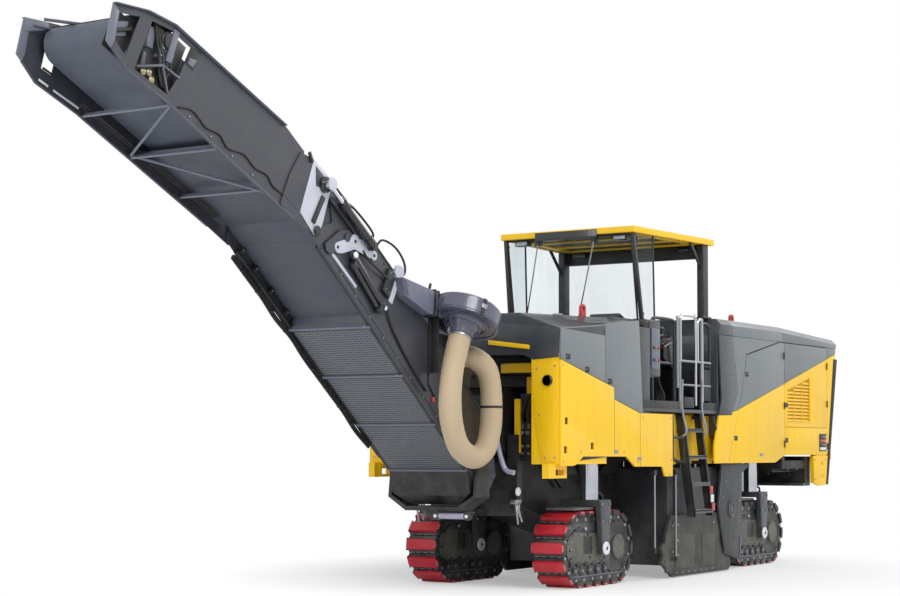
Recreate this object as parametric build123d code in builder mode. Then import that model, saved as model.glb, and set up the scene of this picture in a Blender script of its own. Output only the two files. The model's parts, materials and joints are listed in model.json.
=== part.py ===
from build123d import *
from math import cos, pi, radians, sin
import os

os.makedirs("parts", exist_ok=True)

# A large cold planer with a folding discharge conveyor, in millimetres.
# +X is forward (towards the conveyor's tip), +Y the machine's left, +Z up.
# The origin is on the ground, midway along and across the whole machine.

# ---------------------------------------------------------------- driving dimensions
drum_x = -2520.0            # the milling drum's axis, which all stations are measured from
front_face = drum_x + 3400.0
platform_front = drum_x + 1710.0
platform_rear = drum_x - 430.0
body_half = 1216.0          # half the width over the side panels
skin = 25.0                 # side panels and service doors
body_floor = 1310.0         # lower edge of the side panels
platform_z = 1950.0         # top of the operators' floor
floor_plate = 40.0
cowl_base = 2480.0
cowl_edge_z = 2740.0        # the cowl's front corners
cowl_top = 2960.0
cowl_flat_half = 700.0      # half the width of the cowl's flat top
cowl_fall = 40.0            # how far that top drops towards the front
cowl_side_z = 2900.0        # the sloped side edge's height at the rear
hood_top_z = 3075.0
hood_tail_z = 3000.0
hood_tail_x = drum_x - 4260.0
hood_foot_x = drum_x - 3860.0
hood_foot_z = 1000.0
hood_edge = 70.0            # bevel along the hood's top edges
air = 0.3                   # between pieces that are not one weldment
swing_air = 8.0             # round a door's edges

rail_inner = 430.0
rail_outer = 550.0
rail_z0 = 1340.0
rail_z1 = 1640.0
frame_front = drum_x + 3180.0
frame_rear = drum_x - 3700.0

leg_y = 860.0
leg_front_x = drum_x + 2170.0
leg_rear_x = drum_x - 2080.0
leg_r = 102.5
leg_bore_gap = 0.5
leg_tube_r = 150.0
leg_tube_z0 = 1400.0
leg_tube_z1 = cowl_base - 50.0
leg_top = 2040.0
leg_foot = 935.0            # underside of the column, on top of the yoke

track_y = 808.0             # centre of a track's width
track_trail = 40.0          # how far a track's middle lies ahead of its leg
track_length = 1593.0
track_height = 817.0
track_width = 387.0
shoe_count = 20
shoe_height = 48.0
shoe_gap_share = 0.24

drum_axis_z = 520.0
drum_r = 420.0
case_inset = 136.0          # how far the drum housing's end walls stay inside the body
case_half = body_half - case_inset
drum_half = case_half - 80.0
case_x = 720.0              # drum housing, half the length
case_top = 1265.0

slew_x = drum_x + 3850.0    # the conveyor's vertical swing axis
lift_z = 1400.0             # and its horizontal lift axis
conveyor_half = 497.0
conveyor_plate = 10.0
foot_x = drum_x + 3750.0    # start of the lower section's underside
foot_z = 1018.0
lower_angle = 39.4
lower_length = 3769.0
upper_angle = 25.1
upper_length = 2983.0
fold_v = 70.0               # height of the fold pin over the underside
belt_v = 400.0
belt_half = 420.0

roof_z = 4060.0
roof_thick = 75.0
roof_front = drum_x + 1190.0
roof_rear = drum_x - 640.0
roof_front_half = 903.0
roof_rear_half = 1060.0

blower_x = drum_x + 4487.0   # the middle of the blower's drum, which leans back by blower_lean degrees
blower_y = 745.0
blower_z = 2819.0
blower_lean = 25.0
blower_half = 95.0
blower_r = 355.0
inlet_r = 118.0
inlet_depth = 140.0
hose_r = 114.0
hose_y = 752.0
outlet_width = 123.0        # of the blower's outlet duct, out from the conveyor's plate
cover_v = 940.0             # top of the dust cover over the lower section's tail

fold_anchor = (lower_length - 669.0, 530.0)   # the fold cylinders' fixed eyes, in the lower section's u and v
fold_boss = (lower_length + 184.0, 480.0)     # and the bosses they push, with the conveyor unfolded
cylinder_y = 575.0
barrel_r = 38.0
rod_r = 20.0


def side_plane(y):
    """A plane along the machine at y, drawn in X and Z. It extrudes towards -Y."""
    return Plane(origin=(0, y, 0), x_dir=(1, 0, 0), z_dir=(0, -1, 0))


def cross_plane(x):
    """A plane across the machine at x, drawn in Y and Z. It extrudes towards +X."""
    return Plane(origin=(x, 0, 0), x_dir=(0, 1, 0), z_dir=(1, 0, 0))


def section_plane(origin_x, origin_z, angle, y):
    """A conveyor section's own plane: u runs up along its underside, v square to it."""
    return Plane(origin=(origin_x, y, origin_z),
                 x_dir=(cos(radians(angle)), 0, sin(radians(angle))), z_dir=(0, -1, 0))


def lower_plane(y):
    return section_plane(foot_x, foot_z, lower_angle, y)


fold_x = foot_x + lower_length * cos(radians(lower_angle))
fold_z = foot_z + lower_length * sin(radians(lower_angle))


def upper_plane(y):
    return section_plane(fold_x, fold_z, upper_angle, y)


def lower_point(u, v, y=0.0):
    """Where a point of the lower section lies in the machine."""
    return lower_plane(y).from_local_coords(Vector(u, v, 0))


def upper_point(u, v, y=0.0):
    return upper_plane(y).from_local_coords(Vector(u, v, 0))


def outline(points):
    """A closed outline, added to the sketch that is being drawn."""
    Polygon(*points, align=None)


def keep(part, name):
    """Labels a finished piece and writes it."""
    part.label = name
    export_step(part, f"parts/{name}.step")


def keep_mirrored(part, name):
    """Writes a left-hand piece's right-hand twin."""
    with BuildPart() as twin:
        mirror(part, about=Plane.XZ)
    keep(twin.part, name)


def keep_pair(part, name):
    """Writes a left-hand piece and its right-hand twin together."""
    with BuildPart() as pair:
        add(part)
        mirror(part, about=Plane.XZ)
    keep(pair.part, name)


def box(x0, x1, y0, y1, z0, z1, mode=Mode.ADD):
    """A block between two corners, added to the part that is being built."""
    with Locations(((x0 + x1) / 2, (y0 + y1) / 2, (z0 + z1) / 2)):
        Box(x1 - x0, y1 - y0, z1 - z0, mode=mode)


def tube_between(start, end, radius):
    """A round bar from one point to another."""
    start, end = Vector(*start), Vector(*end)
    along = end - start
    with Locations(Plane(origin=(start + end) / 2, z_dir=along)):
        Cylinder(radius, along.length)


def disc(x, z, radius, y0, y1):
    """A round boss across the machine, between two widths, added to the part."""
    with Locations(Plane(origin=(x, (y0 + y1) / 2, z), z_dir=(0, 1, 0))):
        Cylinder(radius, abs(y1 - y0))


# ---------------------------------------------------------------- main frame
cross_beams = [                          # station, half length along X
    (frame_rear + 60, 60.0),
    (leg_rear_x, 130.0),
    (drum_x - 1000.0, 60.0),
]
post_x = drum_x - 2425.0                 # the post between the two service doors of a side
post_half = 40.0
door_plane = body_half - skin            # inner face of the side panels
hood_wall_x = platform_rear              # front face of the hood's front wall
nose_thick = 100.0
tongue_z0 = 780.0
tongue_z1 = 850.0
slew_pin_r = 45.0

with BuildPart() as main_frame:
    for side in (-1, 1):
        y0, y1 = sorted((side * rail_inner, side * rail_outer))
        box(frame_rear, frame_front, y0, y1, rail_z0, rail_z1)
    for beam_x, half_x in cross_beams:
        box(beam_x - half_x, beam_x + half_x, -rail_inner, rail_inner, rail_z0 + 40, rail_z1)
    # outriggers and posts that carry the doors' shared edge
    box(post_x - post_half, post_x + post_half, -door_plane + 40, door_plane - 40, rail_z0, rail_z0 + 110)
    for side in (-1, 1):
        y0, y1 = sorted((side * (door_plane - 70), side * (door_plane - air)))
        box(post_x - post_half, post_x + post_half, y0, y1, rail_z0, hood_tail_z - 170)
    # the beam under the tail
    box(drum_x - 3480, drum_x - 2500, -1000, 1000, 1180, rail_z0)
    # the nose: a bulkhead under the front and the tongue with the slewing pin
    box(frame_front - nose_thick, frame_front, -rail_outer, rail_outer, tongue_z0, rail_z0)
    box(frame_front - nose_thick, slew_x, -150, 150, tongue_z0, tongue_z1)
    with BuildSketch(Plane.XY.offset(tongue_z0)):
        with Locations((slew_x, 0)):
            Circle(150)
    extrude(amount=tongue_z1 - tongue_z0)
    with BuildSketch(Plane.XY.offset(tongue_z1)):
        with Locations((slew_x, 0)):
            Circle(slew_pin_r)
    extrude(amount=50)
keep(main_frame.part, "main_frame")

# ---------------------------------------------------------------- leg guides
leg_places = [("front_left", leg_front_x, 1), ("front_right", leg_front_x, -1),
              ("rear_left", leg_rear_x, 1), ("rear_right", leg_rear_x, -1)]
with BuildPart() as leg_guides:
    for _, leg_x, side in leg_places:
        box(leg_x - leg_tube_r, leg_x + leg_tube_r, side * leg_y - leg_tube_r, side * leg_y + leg_tube_r,
            leg_tube_z0, leg_tube_z1)
        y0, y1 = sorted((side * rail_outer, side * leg_y))
        box(leg_x - 130, leg_x + 130, y0, y1, leg_tube_z0 + 20, rail_z1)
    for _, leg_x, side in leg_places:
        with BuildSketch(Plane.XY.offset(leg_tube_z0)):
            with Locations((leg_x, side * leg_y)):
                Circle(leg_r + leg_bore_gap)
        extrude(amount=leg_tube_z1 - leg_tube_z0 - 30, mode=Mode.SUBTRACT)
keep(leg_guides.part, "leg_guides")

# ---------------------------------------------------------------- tracks
track_r = track_height / 2 - shoe_height           # the carrying band's outer radius
straight = track_length - track_height
band_thick = 40.0
shoe_pitch = (2 * straight + 2 * pi * track_r) / shoe_count


def on_track(distance, lift, mid_x):
    """A point on the track's path, that far round it and lifted square to it."""
    distance = distance % (2 * straight + 2 * pi * track_r)
    arc = pi * track_r
    reach = track_r + lift
    mid_z = track_height / 2
    if distance < straight:
        return (mid_x - straight / 2 + distance, mid_z + reach)
    distance -= straight
    if distance < arc:
        turn = pi / 2 - distance / track_r
        return (mid_x + straight / 2 + reach * cos(turn), mid_z + reach * sin(turn))
    distance -= arc
    if distance < straight:
        return (mid_x + straight / 2 - distance, mid_z - reach)
    turn = -pi / 2 - (distance - straight) / track_r
    return (mid_x - straight / 2 + reach * cos(turn), mid_z + reach * sin(turn))


def band_inside(clearance, mid_x):
    """The many-sided inside of a track's band, drawn in by a clearance."""
    return [on_track((shoe + 0.5) * shoe_pitch, -band_thick - clearance, mid_x) for shoe in range(shoe_count)]


for place, leg_x, side in leg_places:
    mid_x = leg_x + track_trail
    mid_y = side * track_y
    outer_plane = side_plane(mid_y + track_width / 2)
    with BuildPart() as column:
        with BuildSketch(Plane.XY.offset(leg_foot)):
            with Locations((leg_x, side * leg_y)):
                Circle(leg_r)
        extrude(amount=leg_top - leg_foot)
    keep(column.part, f"leg_column_{place}")

    with BuildPart() as loop:
        with BuildSketch(outer_plane):
            points = []
            for shoe in range(shoe_count):
                start = (shoe + 0.5) * shoe_pitch
                solid_share = 1 - shoe_gap_share
                points.append(on_track(start, 0, mid_x))
                points.append(on_track(start, shoe_height, mid_x))
                points.append(on_track(start + shoe_pitch * solid_share, shoe_height, mid_x))
                points.append(on_track(start + shoe_pitch * solid_share, 0, mid_x))
            outline(points)
            Polygon(*band_inside(0, mid_x), align=None, mode=Mode.SUBTRACT)
        extrude(amount=track_width)
    keep(loop.part, f"track_loop_{place}")

    # The roller frame fills the loop; its yoke straddles the inner side and carries the leg.
    frame_y0 = mid_y - side * (track_width / 2 - 40)
    frame_y1 = mid_y + side * (track_width / 2 - 25)
    with BuildPart() as truck:
        low_y, high_y = sorted((frame_y0, frame_y1))
        with BuildSketch(side_plane(high_y)):
            outline(band_inside(air, mid_x))
        extrude(amount=high_y - low_y)
        # hub on the outer side, on the cross shaft that goes right through
        arm = 45.0
        arm_in = mid_y - side * (track_width / 2 + 12)
        arm_out = mid_y + side * (track_width / 2 + 12)
        y0, y1 = sorted((arm_in - side * arm, arm_out + side * arm))
        with BuildSketch(side_plane(y1)):
            with Locations((leg_x, track_height / 2)):
                Circle(62)
        extrude(amount=y1 - y0)
        for inner in (arm_in, arm_out):
            outward = 1 if inner == arm_out else -1
            y0, y1 = sorted((inner, inner + side * outward * arm))
            with BuildSketch(side_plane(y1)):
                outline([(leg_x - 75, track_height / 2 - 70), (leg_x - 130, 870),
                         (leg_x - 130, leg_foot), (leg_x + 130, leg_foot),
                         (leg_x + 130, 870), (leg_x + 75, track_height / 2 - 70)])
            extrude(amount=y1 - y0)
        y0, y1 = sorted((arm_in - side * arm, arm_out + side * arm))
        box(leg_x - 130, leg_x + 130, y0, y1, 865, leg_foot)
    keep(truck.part, f"track_frame_{place}")

# ---------------------------------------------------------------- milling drum and its housing
with BuildPart() as drum:
    with BuildSketch(side_plane(drum_half)):
        with Locations((drum_x, drum_axis_z)):
            Circle(drum_r)
    extrude(amount=2 * drum_half)
    # bosses that turn in the housing's end walls
    with BuildSketch(side_plane(case_half - 30 - air)):
        with Locations((drum_x, drum_axis_z)):
            Circle(180)
    extrude(amount=2 * (case_half - 30 - air))
keep(drum.part, "milling_drum")

with BuildPart() as drum_roof:
    box(drum_x - case_x, drum_x + case_x, -case_half, case_half, case_top - 30, case_top)
    for side in (-1, 1):
        y0, y1 = sorted((side * rail_inner, side * rail_outer))
        box(drum_x - 560, drum_x + 560, y0, y1, case_top, rail_z0)
keep(drum_roof.part, "drum_housing_roof")

end_bottom = 260.0
fender_thick = 15.0
fender_points = [(-580, 1300), (-1400, 1300), (-1370, 1268), (-1190, 1200), (-1160, 450),
                 (-1110, 120), (-660, 220), (-480, 800)]
plate_gap = 20.0            # between the housing's end and its side plate
plate_thick = 40.0
fender_y = case_half + plate_gap + plate_thick + swing_air
with BuildPart() as drum_end:
    with BuildSketch(side_plane(case_half)):
        outline([(drum_x - case_x, end_bottom), (drum_x - case_x, case_top - 30),
                 (drum_x + case_x, case_top - 30), (drum_x + case_x, end_bottom)])
    extrude(amount=30)
    # the rails that a side plate slides on
    for rail_x in (drum_x - 560, drum_x + 520):
        box(rail_x - 30, rail_x + 30, case_half, case_half + plate_gap - air, 320, case_top - 30)
    # the fender outside the side plate, on a block above that plate's highest place
    box(drum_x - 715, drum_x - 600, case_half, fender_y, 1000, 1200)
    with BuildSketch(side_plane(fender_y + fender_thick)):
        outline([(drum_x + x, z) for x, z in fender_points])
    extrude(amount=fender_thick)
    disc(drum_x - 850, 750, 95, fender_y + fender_thick, fender_y + 2 * fender_thick)
keep_pair(drum_end.part, "drum_housing_ends")

wall = 30.0
gate_z = 140.0
throat_half = 330.0
throat_z0 = 420.0
throat_z1 = 1080.0
with BuildPart() as front_gate:
    box(drum_x + case_x - wall, drum_x + case_x, -(case_half - 30 - air), case_half - 30 - air,
        gate_z, case_top - 30)
    with BuildSketch(cross_plane(drum_x + case_x - wall - 1)):
        with Locations((0, (throat_z0 + throat_z1) / 2)):
            Rectangle(2 * throat_half, throat_z1 - throat_z0)
    extrude(amount=wall + 2, mode=Mode.SUBTRACT)
keep(front_gate.part, "drum_front_wall")

with BuildPart() as scraper:
    box(drum_x - case_x, drum_x - case_x + wall, -(case_half - 30 - air), case_half - 30 - air,
        60, case_top - 30)
keep(scraper.part, "scraper_blade")

# Side plates slide up and down outside the housing's ends.
with BuildPart() as side_plate:
    with BuildSketch(side_plane(case_half + plate_gap + plate_thick)):
        outline([(drum_x - 880, 60), (drum_x - 820, 12), (drum_x + 700, 12), (drum_x + 980, 190),
                 (drum_x + 900, 420), (drum_x + 740, 720), (drum_x - 880, 720)])
    extrude(amount=plate_thick)
keep(side_plate.part, "side_plate_left")
keep_mirrored(side_plate.part, "side_plate_right")

# ---------------------------------------------------------------- primary conveyor
throat_x = drum_x + case_x + air
primary_half = 385.0
nose_x = frame_front - nose_thick - air
head_x = front_face - 200.0
with BuildPart() as primary:
    with BuildSketch(side_plane(primary_half)):
        outline([(throat_x, throat_z0 - 60), (nose_x, 930), (nose_x, 1400),
                 (head_x, 1480), (head_x, 2060), (head_x - 140, 2140), (throat_x, 1160)])
    extrude(amount=2 * primary_half)
keep(primary.part, "primary_conveyor")

# ---------------------------------------------------------------- front body
tower_half_in = 860.0
lash_y = 1100.0
lash_z0 = 1185.0
tower_rear = leg_front_x + leg_tube_r + 60
with BuildPart() as towers:
    for side in (-1, 1):
        y0, y1 = sorted((side * tower_half_in, side * (door_plane - air)))
        box(tower_rear, front_face, y0, y1, body_floor + 20, cowl_base)
        # the lashing bracket under it, with a square eye
        box(front_face - 250, front_face + 120, side * lash_y - 40, side * lash_y + 40,
            lash_z0, body_floor + 30)
    box(front_face - 200, front_face - 20, -lash_y - 60, lash_y + 60, lash_z0 + 30, body_floor - 35,
        mode=Mode.SUBTRACT)
keep(towers.part, "front_towers")

tank_half = leg_y - leg_tube_r - 10.0
with BuildPart() as tank:
    box(platform_front + 50 + air, front_face - 520, -tank_half, tank_half, 2160, cowl_base - air)
keep(tank.part, "hydraulic_tank")

with BuildPart() as bulkhead:
    box(platform_front, platform_front + 50, -door_plane + air, door_plane - air, rail_z1 + air,
        cowl_base - air)
keep(bulkhead.part, "front_bulkhead")

# The cowl: its top falls a little to the front, and its side edges are sloped off towards the front.
with BuildPart() as cowl:
    with BuildSketch(side_plane(body_half)):
        outline([(platform_front, cowl_base), (platform_front, cowl_top),
                 (front_face, cowl_top - cowl_fall), (front_face, cowl_base)])
    extrude(amount=2 * body_half)
    for side in (-1, 1):
        corner = Vector(front_face, side * body_half, cowl_edge_z)
        along_side = Vector(platform_front, side * body_half, cowl_side_z) - corner
        along_front = Vector(front_face, side * cowl_flat_half, cowl_top - cowl_fall) - corner
        out = along_side.cross(along_front)
        if out.Z < 0:
            out = -out
        split(bisect_by=Plane(origin=corner, z_dir=out), keep=Keep.BOTTOM)
keep(cowl.part, "front_cowl")

flank_rear = drum_x + 830.0
with BuildPart() as flank:
    with BuildSketch(side_plane(body_half)):
        outline([(front_face, body_floor), (front_face, cowl_base - air),
                 (platform_front, cowl_base - air), (platform_front, platform_z),
                 (flank_rear, platform_z), (flank_rear, 1300), (drum_x + 1020, 1170),
                 (drum_x + 1800, 1280), (drum_x + 1970, 1405), (drum_x + 2940, 1410),
                 (drum_x + 3130, body_floor)])
    extrude(amount=skin)
keep_pair(flank.part, "flank_panels")

# ---------------------------------------------------------------- operators' platform
recess_half = 960.0
with BuildPart() as platform:
    box(platform_rear + air, platform_front - air, -(door_plane - air), door_plane - air,
        platform_z - floor_plate, platform_z)
keep(platform.part, "platform_floor")

with BuildPart() as skirt:
    box(platform_rear + air, flank_rear - air, recess_half - 30, recess_half, body_floor,
        platform_z - floor_plate - air)
keep_pair(skirt.part, "recess_panels")

dash_rear = drum_x + 940.0
dash_half = 920.0
with BuildPart() as dashboard:
    with BuildSketch(side_plane(dash_half)):
        outline([(platform_front - air, platform_z + air), (platform_front - air, cowl_top + 15),
                 (dash_rear, cowl_top + 15), (dash_rear + 60, 2700), (dash_rear + 260, 2600),
                 (dash_rear + 260, platform_z + air)])
    extrude(amount=2 * dash_half)
keep(dashboard.part, "dashboard")

with BuildPart() as consoles:
    for side in (-1, 1):
        with BuildSketch(side_plane(max(side * 640, side * 900))):
            outline([(drum_x - 60, platform_z + air), (drum_x - 60, 2640), (drum_x + 40, 2820),
                     (drum_x + 420, 2700), (drum_x + 420, 2560), (drum_x + 160, 2440),
                     (drum_x + 160, platform_z + air)])
        extrude(amount=260)
keep(consoles.part, "operator_consoles")

with BuildPart() as stools:
    for side in (-1, 1):
        stool_x, stool_y = drum_x - 180, side * 330
        box(stool_x - 70, stool_x + 70, stool_y - 70, stool_y + 70, platform_z + air, 2420)
        box(stool_x - 200, stool_x + 220, stool_y - 230, stool_y + 230, 2420, 2520)
        box(stool_x - 220, stool_x - 120, stool_y - 210, stool_y + 210, 2520, 2960)
keep(stools.part, "operator_stools")

# ladders: two leaning stringers with steps, hung from the floor's edge
ladder_x0 = drum_x + 0.0
ladder_x1 = drum_x + 500.0
ladder_top_y = body_half - 90
ladder_foot_y = body_half + 74
ladder_foot_z = 700.0
step_heights = [770.0, 1085.0, 1400.0, 1715.0]
stringer = 25.0


def ladder_y(z):
    """The ladder's middle leans outwards towards its foot."""
    share = (platform_z - z) / (platform_z - ladder_foot_z)
    return ladder_top_y + (ladder_foot_y - ladder_top_y) * share


with BuildPart() as ladder:
    for end_x in (ladder_x0, ladder_x1 - stringer):
        with BuildSketch(cross_plane(end_x)):
            top_y, top_z = ladder_y(platform_z - 45), platform_z - 45
            outline([(top_y - 45, top_z), (top_y + 45, top_z),
                     (ladder_foot_y + 45, ladder_foot_z), (ladder_foot_y - 45, ladder_foot_z)])
        extrude(amount=stringer)
    for z in step_heights:
        box(ladder_x0 + stringer, ladder_x1 - stringer, ladder_y(z) - 60, ladder_y(z) + 60, z - 15, z + 15)
    for z in (1330.0, 1860.0):
        box(ladder_x0, ladder_x1, recess_half + air, ladder_y(z), z - 25, z + 25)
keep_pair(ladder.part, "ladders")

rail_r = 19.0
rail_sides = 8
rail_top = 2990.0
rail_y = door_plane - 60
with BuildPart() as handrails:
    for side in (-1, 1):
        for x0, x1 in ((drum_x + 620, drum_x + 1180), (drum_x - 330, drum_x - 60)):
            for x in (x0, x1):
                with BuildSketch(Plane.XY.offset(platform_z + air)):
                    with Locations((x, side * rail_y)):
                        RegularPolygon(rail_r, rail_sides)
                extrude(amount=rail_top - platform_z)
            for z in (2480, rail_top):
                with BuildSketch(cross_plane(x0)):
                    with Locations((side * rail_y, z)):
                        RegularPolygon(rail_r, rail_sides)
                extrude(amount=x1 - x0)
keep(handrails.part, "handrails")

# ---------------------------------------------------------------- roof, posts, glass
with BuildPart() as roof:
    with BuildSketch(Plane.XY.offset(roof_z - roof_thick)):
        outline([(roof_front, -roof_front_half), (roof_front, roof_front_half),
                 (roof_rear, roof_rear_half), (roof_rear, -roof_rear_half)])
    extrude(amount=roof_thick)
keep(roof.part, "roof")

post_front_foot = (dash_rear + 30, 890.0, cowl_top + 15 + air)
post_front_head = (roof_front - 60, 860.0, roof_z - roof_thick - air)
post_rear_x = platform_rear - 40
with BuildPart() as posts:
    for side in (-1, 1):
        pillar_x, pillar_y, pillar_z = post_front_foot
        crown_x, crown_y, crown_z = post_front_head
        with BuildSketch(Plane.XY.offset(pillar_z)):
            with Locations((pillar_x, side * pillar_y)):
                Rectangle(50, 50)
        with BuildSketch(Plane.XY.offset(crown_z)):
            with Locations((crown_x, side * crown_y)):
                Rectangle(60, 50)
        loft(ruled=True)
    for side in (-1, 1):
        box(post_rear_x - 70, post_rear_x + 70, side * 980 - 45, side * 980 + 45,
            hood_top_z + air, roof_z - roof_thick - air)
keep(posts.part, "roof_posts")

glass = 8.0
with BuildPart() as windscreen:
    pillar_x, pillar_y, pillar_z = post_front_foot
    crown_x, crown_y, crown_z = post_front_head
    with BuildSketch(side_plane(pillar_y - 60)):
        outline([(pillar_x - glass, pillar_z), (pillar_x + glass, pillar_z),
                 (crown_x + glass, crown_z), (crown_x - glass, crown_z)])
    extrude(amount=2 * (pillar_y - 60))
keep(windscreen.part, "windscreen")

# ---------------------------------------------------------------- engine hood
door_top_z = 2870.0
seam = [(drum_x - 2280, door_top_z), (drum_x - 1240, 2660.0), (drum_x - 1100, 2210.0), (drum_x - 690, body_floor)]
tail_seam_x = drum_x - 3900.0


def slope_x(z):
    """The hood's rear face at a height."""
    share = (z - hood_foot_z) / (hood_tail_z - hood_foot_z)
    return hood_foot_x + (hood_tail_x - hood_foot_x) * share


with BuildPart() as hood_top:
    with BuildSketch(side_plane(body_half)):
        outline([(hood_wall_x, door_top_z + swing_air), (hood_wall_x + 60, hood_top_z),
                 (drum_x - 2370, hood_top_z), (slope_x(hood_tail_z), hood_tail_z),
                 (slope_x(door_top_z + swing_air), door_top_z + swing_air)])
    extrude(amount=2 * body_half)
    top_edges = edges().filter_by(Axis.X).group_by(Axis.Z)[-1]
    chamfer(top_edges, hood_edge)
keep(hood_top.part, "hood_top")

with BuildPart() as cheek:
    with BuildSketch(side_plane(body_half)):
        outline([(drum_x - 430, door_top_z + swing_air - air), (drum_x - 500, 2100), (drum_x - 290, 1530),
                 (drum_x - 290, body_floor), (seam[3][0] + swing_air + 1, body_floor),
                 (seam[2][0] + swing_air + 1, seam[2][1]),
                 (seam[1][0] + swing_air, seam[1][1] + swing_air),
                 (seam[0][0] + swing_air, door_top_z + swing_air - air)])
    extrude(amount=skin)
keep_pair(cheek.part, "hood_cheeks")

with BuildPart() as hood_wall:
    box(hood_wall_x - 30, hood_wall_x, -(door_plane - air), door_plane - air, rail_z1 + air,
        door_top_z + swing_air - air)
keep(hood_wall.part, "platform_rear_wall")

with BuildPart() as front_door:
    with BuildSketch(side_plane(body_half)):
        outline([seam[0], (post_x + swing_air / 2, door_top_z), (post_x + swing_air / 2, 1405),
                 (drum_x - 2120, body_floor), seam[3], seam[2], seam[1]])
    extrude(amount=skin)
keep(front_door.part, "service_door_left")
keep_mirrored(front_door.part, "service_door_right")

with BuildPart() as rear_door:
    with BuildSketch(side_plane(body_half)):
        outline([(post_x - swing_air / 2, door_top_z), (tail_seam_x, door_top_z), (tail_seam_x, 1405),
                 (post_x - swing_air / 2, 1405)])
    extrude(amount=skin)
keep(rear_door.part, "louvre_door_left")
keep_mirrored(rear_door.part, "louvre_door_right")

tail_wall = 40.0
tail_plate = 60.0
lug_front_x = drum_x - 3520
lug_top_z = 1400.0
tie_x = drum_x - 3700.0
tie_z = 1110.0
tie_r = 25.0
with BuildPart() as tail:
    tail_top = door_top_z + swing_air - air
    with BuildSketch(side_plane(body_half)):
        outline([(tail_seam_x - swing_air, tail_top), (slope_x(tail_top), tail_top),
                 (hood_foot_x, hood_foot_z), (lug_front_x, hood_foot_z + 30),
                 (lug_front_x + 50, lug_top_z), (tail_seam_x - swing_air, lug_top_z)])
    extrude(amount=2 * body_half)
    # hollow between the side plates, open to the front and below
    with BuildSketch(side_plane(body_half - tail_plate)):
        outline([(lug_front_x + 200, tail_top + 50), (slope_x(tail_top + 50) + tail_wall, tail_top + 50),
                 (slope_x(lug_top_z) + tail_wall, lug_top_z), (slope_x(lug_top_z) - 50, lug_top_z),
                 (slope_x(lug_top_z) - 50, hood_foot_z - 50), (lug_front_x + 200, hood_foot_z - 50)])
    extrude(amount=2 * (body_half - tail_plate), mode=Mode.SUBTRACT)
    # tie-down holes in the lugs
    with BuildSketch(side_plane(body_half)):
        with Locations((tie_x, tie_z)):
            Circle(tie_r)
    extrude(amount=2 * body_half, mode=Mode.SUBTRACT)
keep(tail.part, "hood_tail")

with BuildPart() as engine:
    box(frame_rear + 250, hood_wall_x - 250, -560, 560, rail_z1 + air, 2700)
keep(engine.part, "engine_block")

# ---------------------------------------------------------------- lifting eyes
front_eye_x = drum_x + 1890.0
eye_half = 55.0
cowl_slope = cowl_fall / (front_face - platform_front)
front_eye_z = cowl_top - cowl_slope * (front_eye_x - eye_half - platform_front)
eye_places = [                            # station, half spacing, height of the seat
    (front_eye_x, 620.0, front_eye_z + air),
    (drum_x - 1900.0, 700.0, hood_top_z + air),
]
with BuildPart() as eyes:
    for eye_x, eye_y, seat_z in eye_places:
        for side in (-1, 1):
            with BuildSketch(side_plane(side * eye_y + 15)):
                with Locations((eye_x, seat_z + 50)):
                    Rectangle(2 * eye_half, 100)
                with Locations((eye_x, seat_z + 100)):
                    Circle(eye_half)
                with Locations((eye_x, seat_z + 100)):
                    Circle(28, mode=Mode.SUBTRACT)
            extrude(amount=30)
keep(eyes.part, "lifting_eyes")

# ---------------------------------------------------------------- discharge conveyor: cradle
cradle_y0 = conveyor_half + 12.0
cradle_y1 = cradle_y0 + 40.0
cradle_z0 = tongue_z1 + air
pivot_r = 45.0
cradle_rise = 140.0         # the yoke's lower corners are cut off
with BuildPart() as cradle:
    with BuildSketch(Plane.XY.offset(cradle_z0)):
        with Locations((slew_x, 0)):
            Circle(190)
    extrude(amount=45)
    with BuildSketch(cross_plane(slew_x)):
        outline([(-cradle_y1, cradle_z0 + cradle_rise), (-330, cradle_z0), (330, cradle_z0),
                 (cradle_y1, cradle_z0 + cradle_rise), (cradle_y1, cradle_z0 + cradle_rise + 20),
                 (cradle_y0, cradle_z0 + cradle_rise + 20), (320, cradle_z0 + 45), (-320, cradle_z0 + 45),
                 (-cradle_y0, cradle_z0 + cradle_rise + 20), (-cradle_y1, cradle_z0 + cradle_rise + 20)])
    extrude(amount=130, both=True)
    with BuildSketch(Plane.XY.offset(cradle_z0)):
        with Locations((slew_x, 0)):
            Circle(slew_pin_r + 0.5)
    extrude(amount=45, mode=Mode.SUBTRACT)
    for side in (-1, 1):
        outer = max(side * cradle_y0, side * cradle_y1)
        with BuildSketch(side_plane(outer)):
            outline([(slew_x - 130, cradle_z0 + cradle_rise), (slew_x - 80, lift_z),
                     (slew_x - 80, lift_z + 80), (slew_x + 80, lift_z + 80), (slew_x + 80, lift_z),
                     (slew_x + 130, cradle_z0 + cradle_rise)])
            with Locations((slew_x, lift_z)):
                Circle(pivot_r + 0.5, mode=Mode.SUBTRACT)
        extrude(amount=cradle_y1 - cradle_y0)
keep(cradle.part, "slew_cradle")

# ---------------------------------------------------------------- discharge conveyor: lower section
lower_top_v = 625.0
fold_clear = 130.0          # how far the undersides stay back from the fold pin
lower_side_points = [(0.0, 0.0), (-50.0, 60.0), (-50.0, 300.0), (350.0, lower_top_v),
                     (lower_length - 1289.0, 655.0), (lower_length + 121.0, 600.0), (lower_length + 111.0, 520.0),
                     (lower_length - fold_clear, 330.0), (lower_length - fold_clear, 0.0)]
crank_y = 507.0
crank_pivot = (lower_length - 363.0, 350.0)
crank_shape = [(-224, 35), (-169, 75), (-249, 330), (-339, 420), (-679, 500), (-724, 450), (-439, 300), (-289, 60)]
crank_points = [(lower_length + back, up) for back, up in crank_shape]
strut_y = 540.0
strut_r = 30.0
strut_foot = (lower_length - 1169.0, 226.0)
strut_head = (lower_length - 519.0, 270.0)
hinge_lug = 12.0
lug_r = 60.0
fold_pin_r = 25.0
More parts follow.
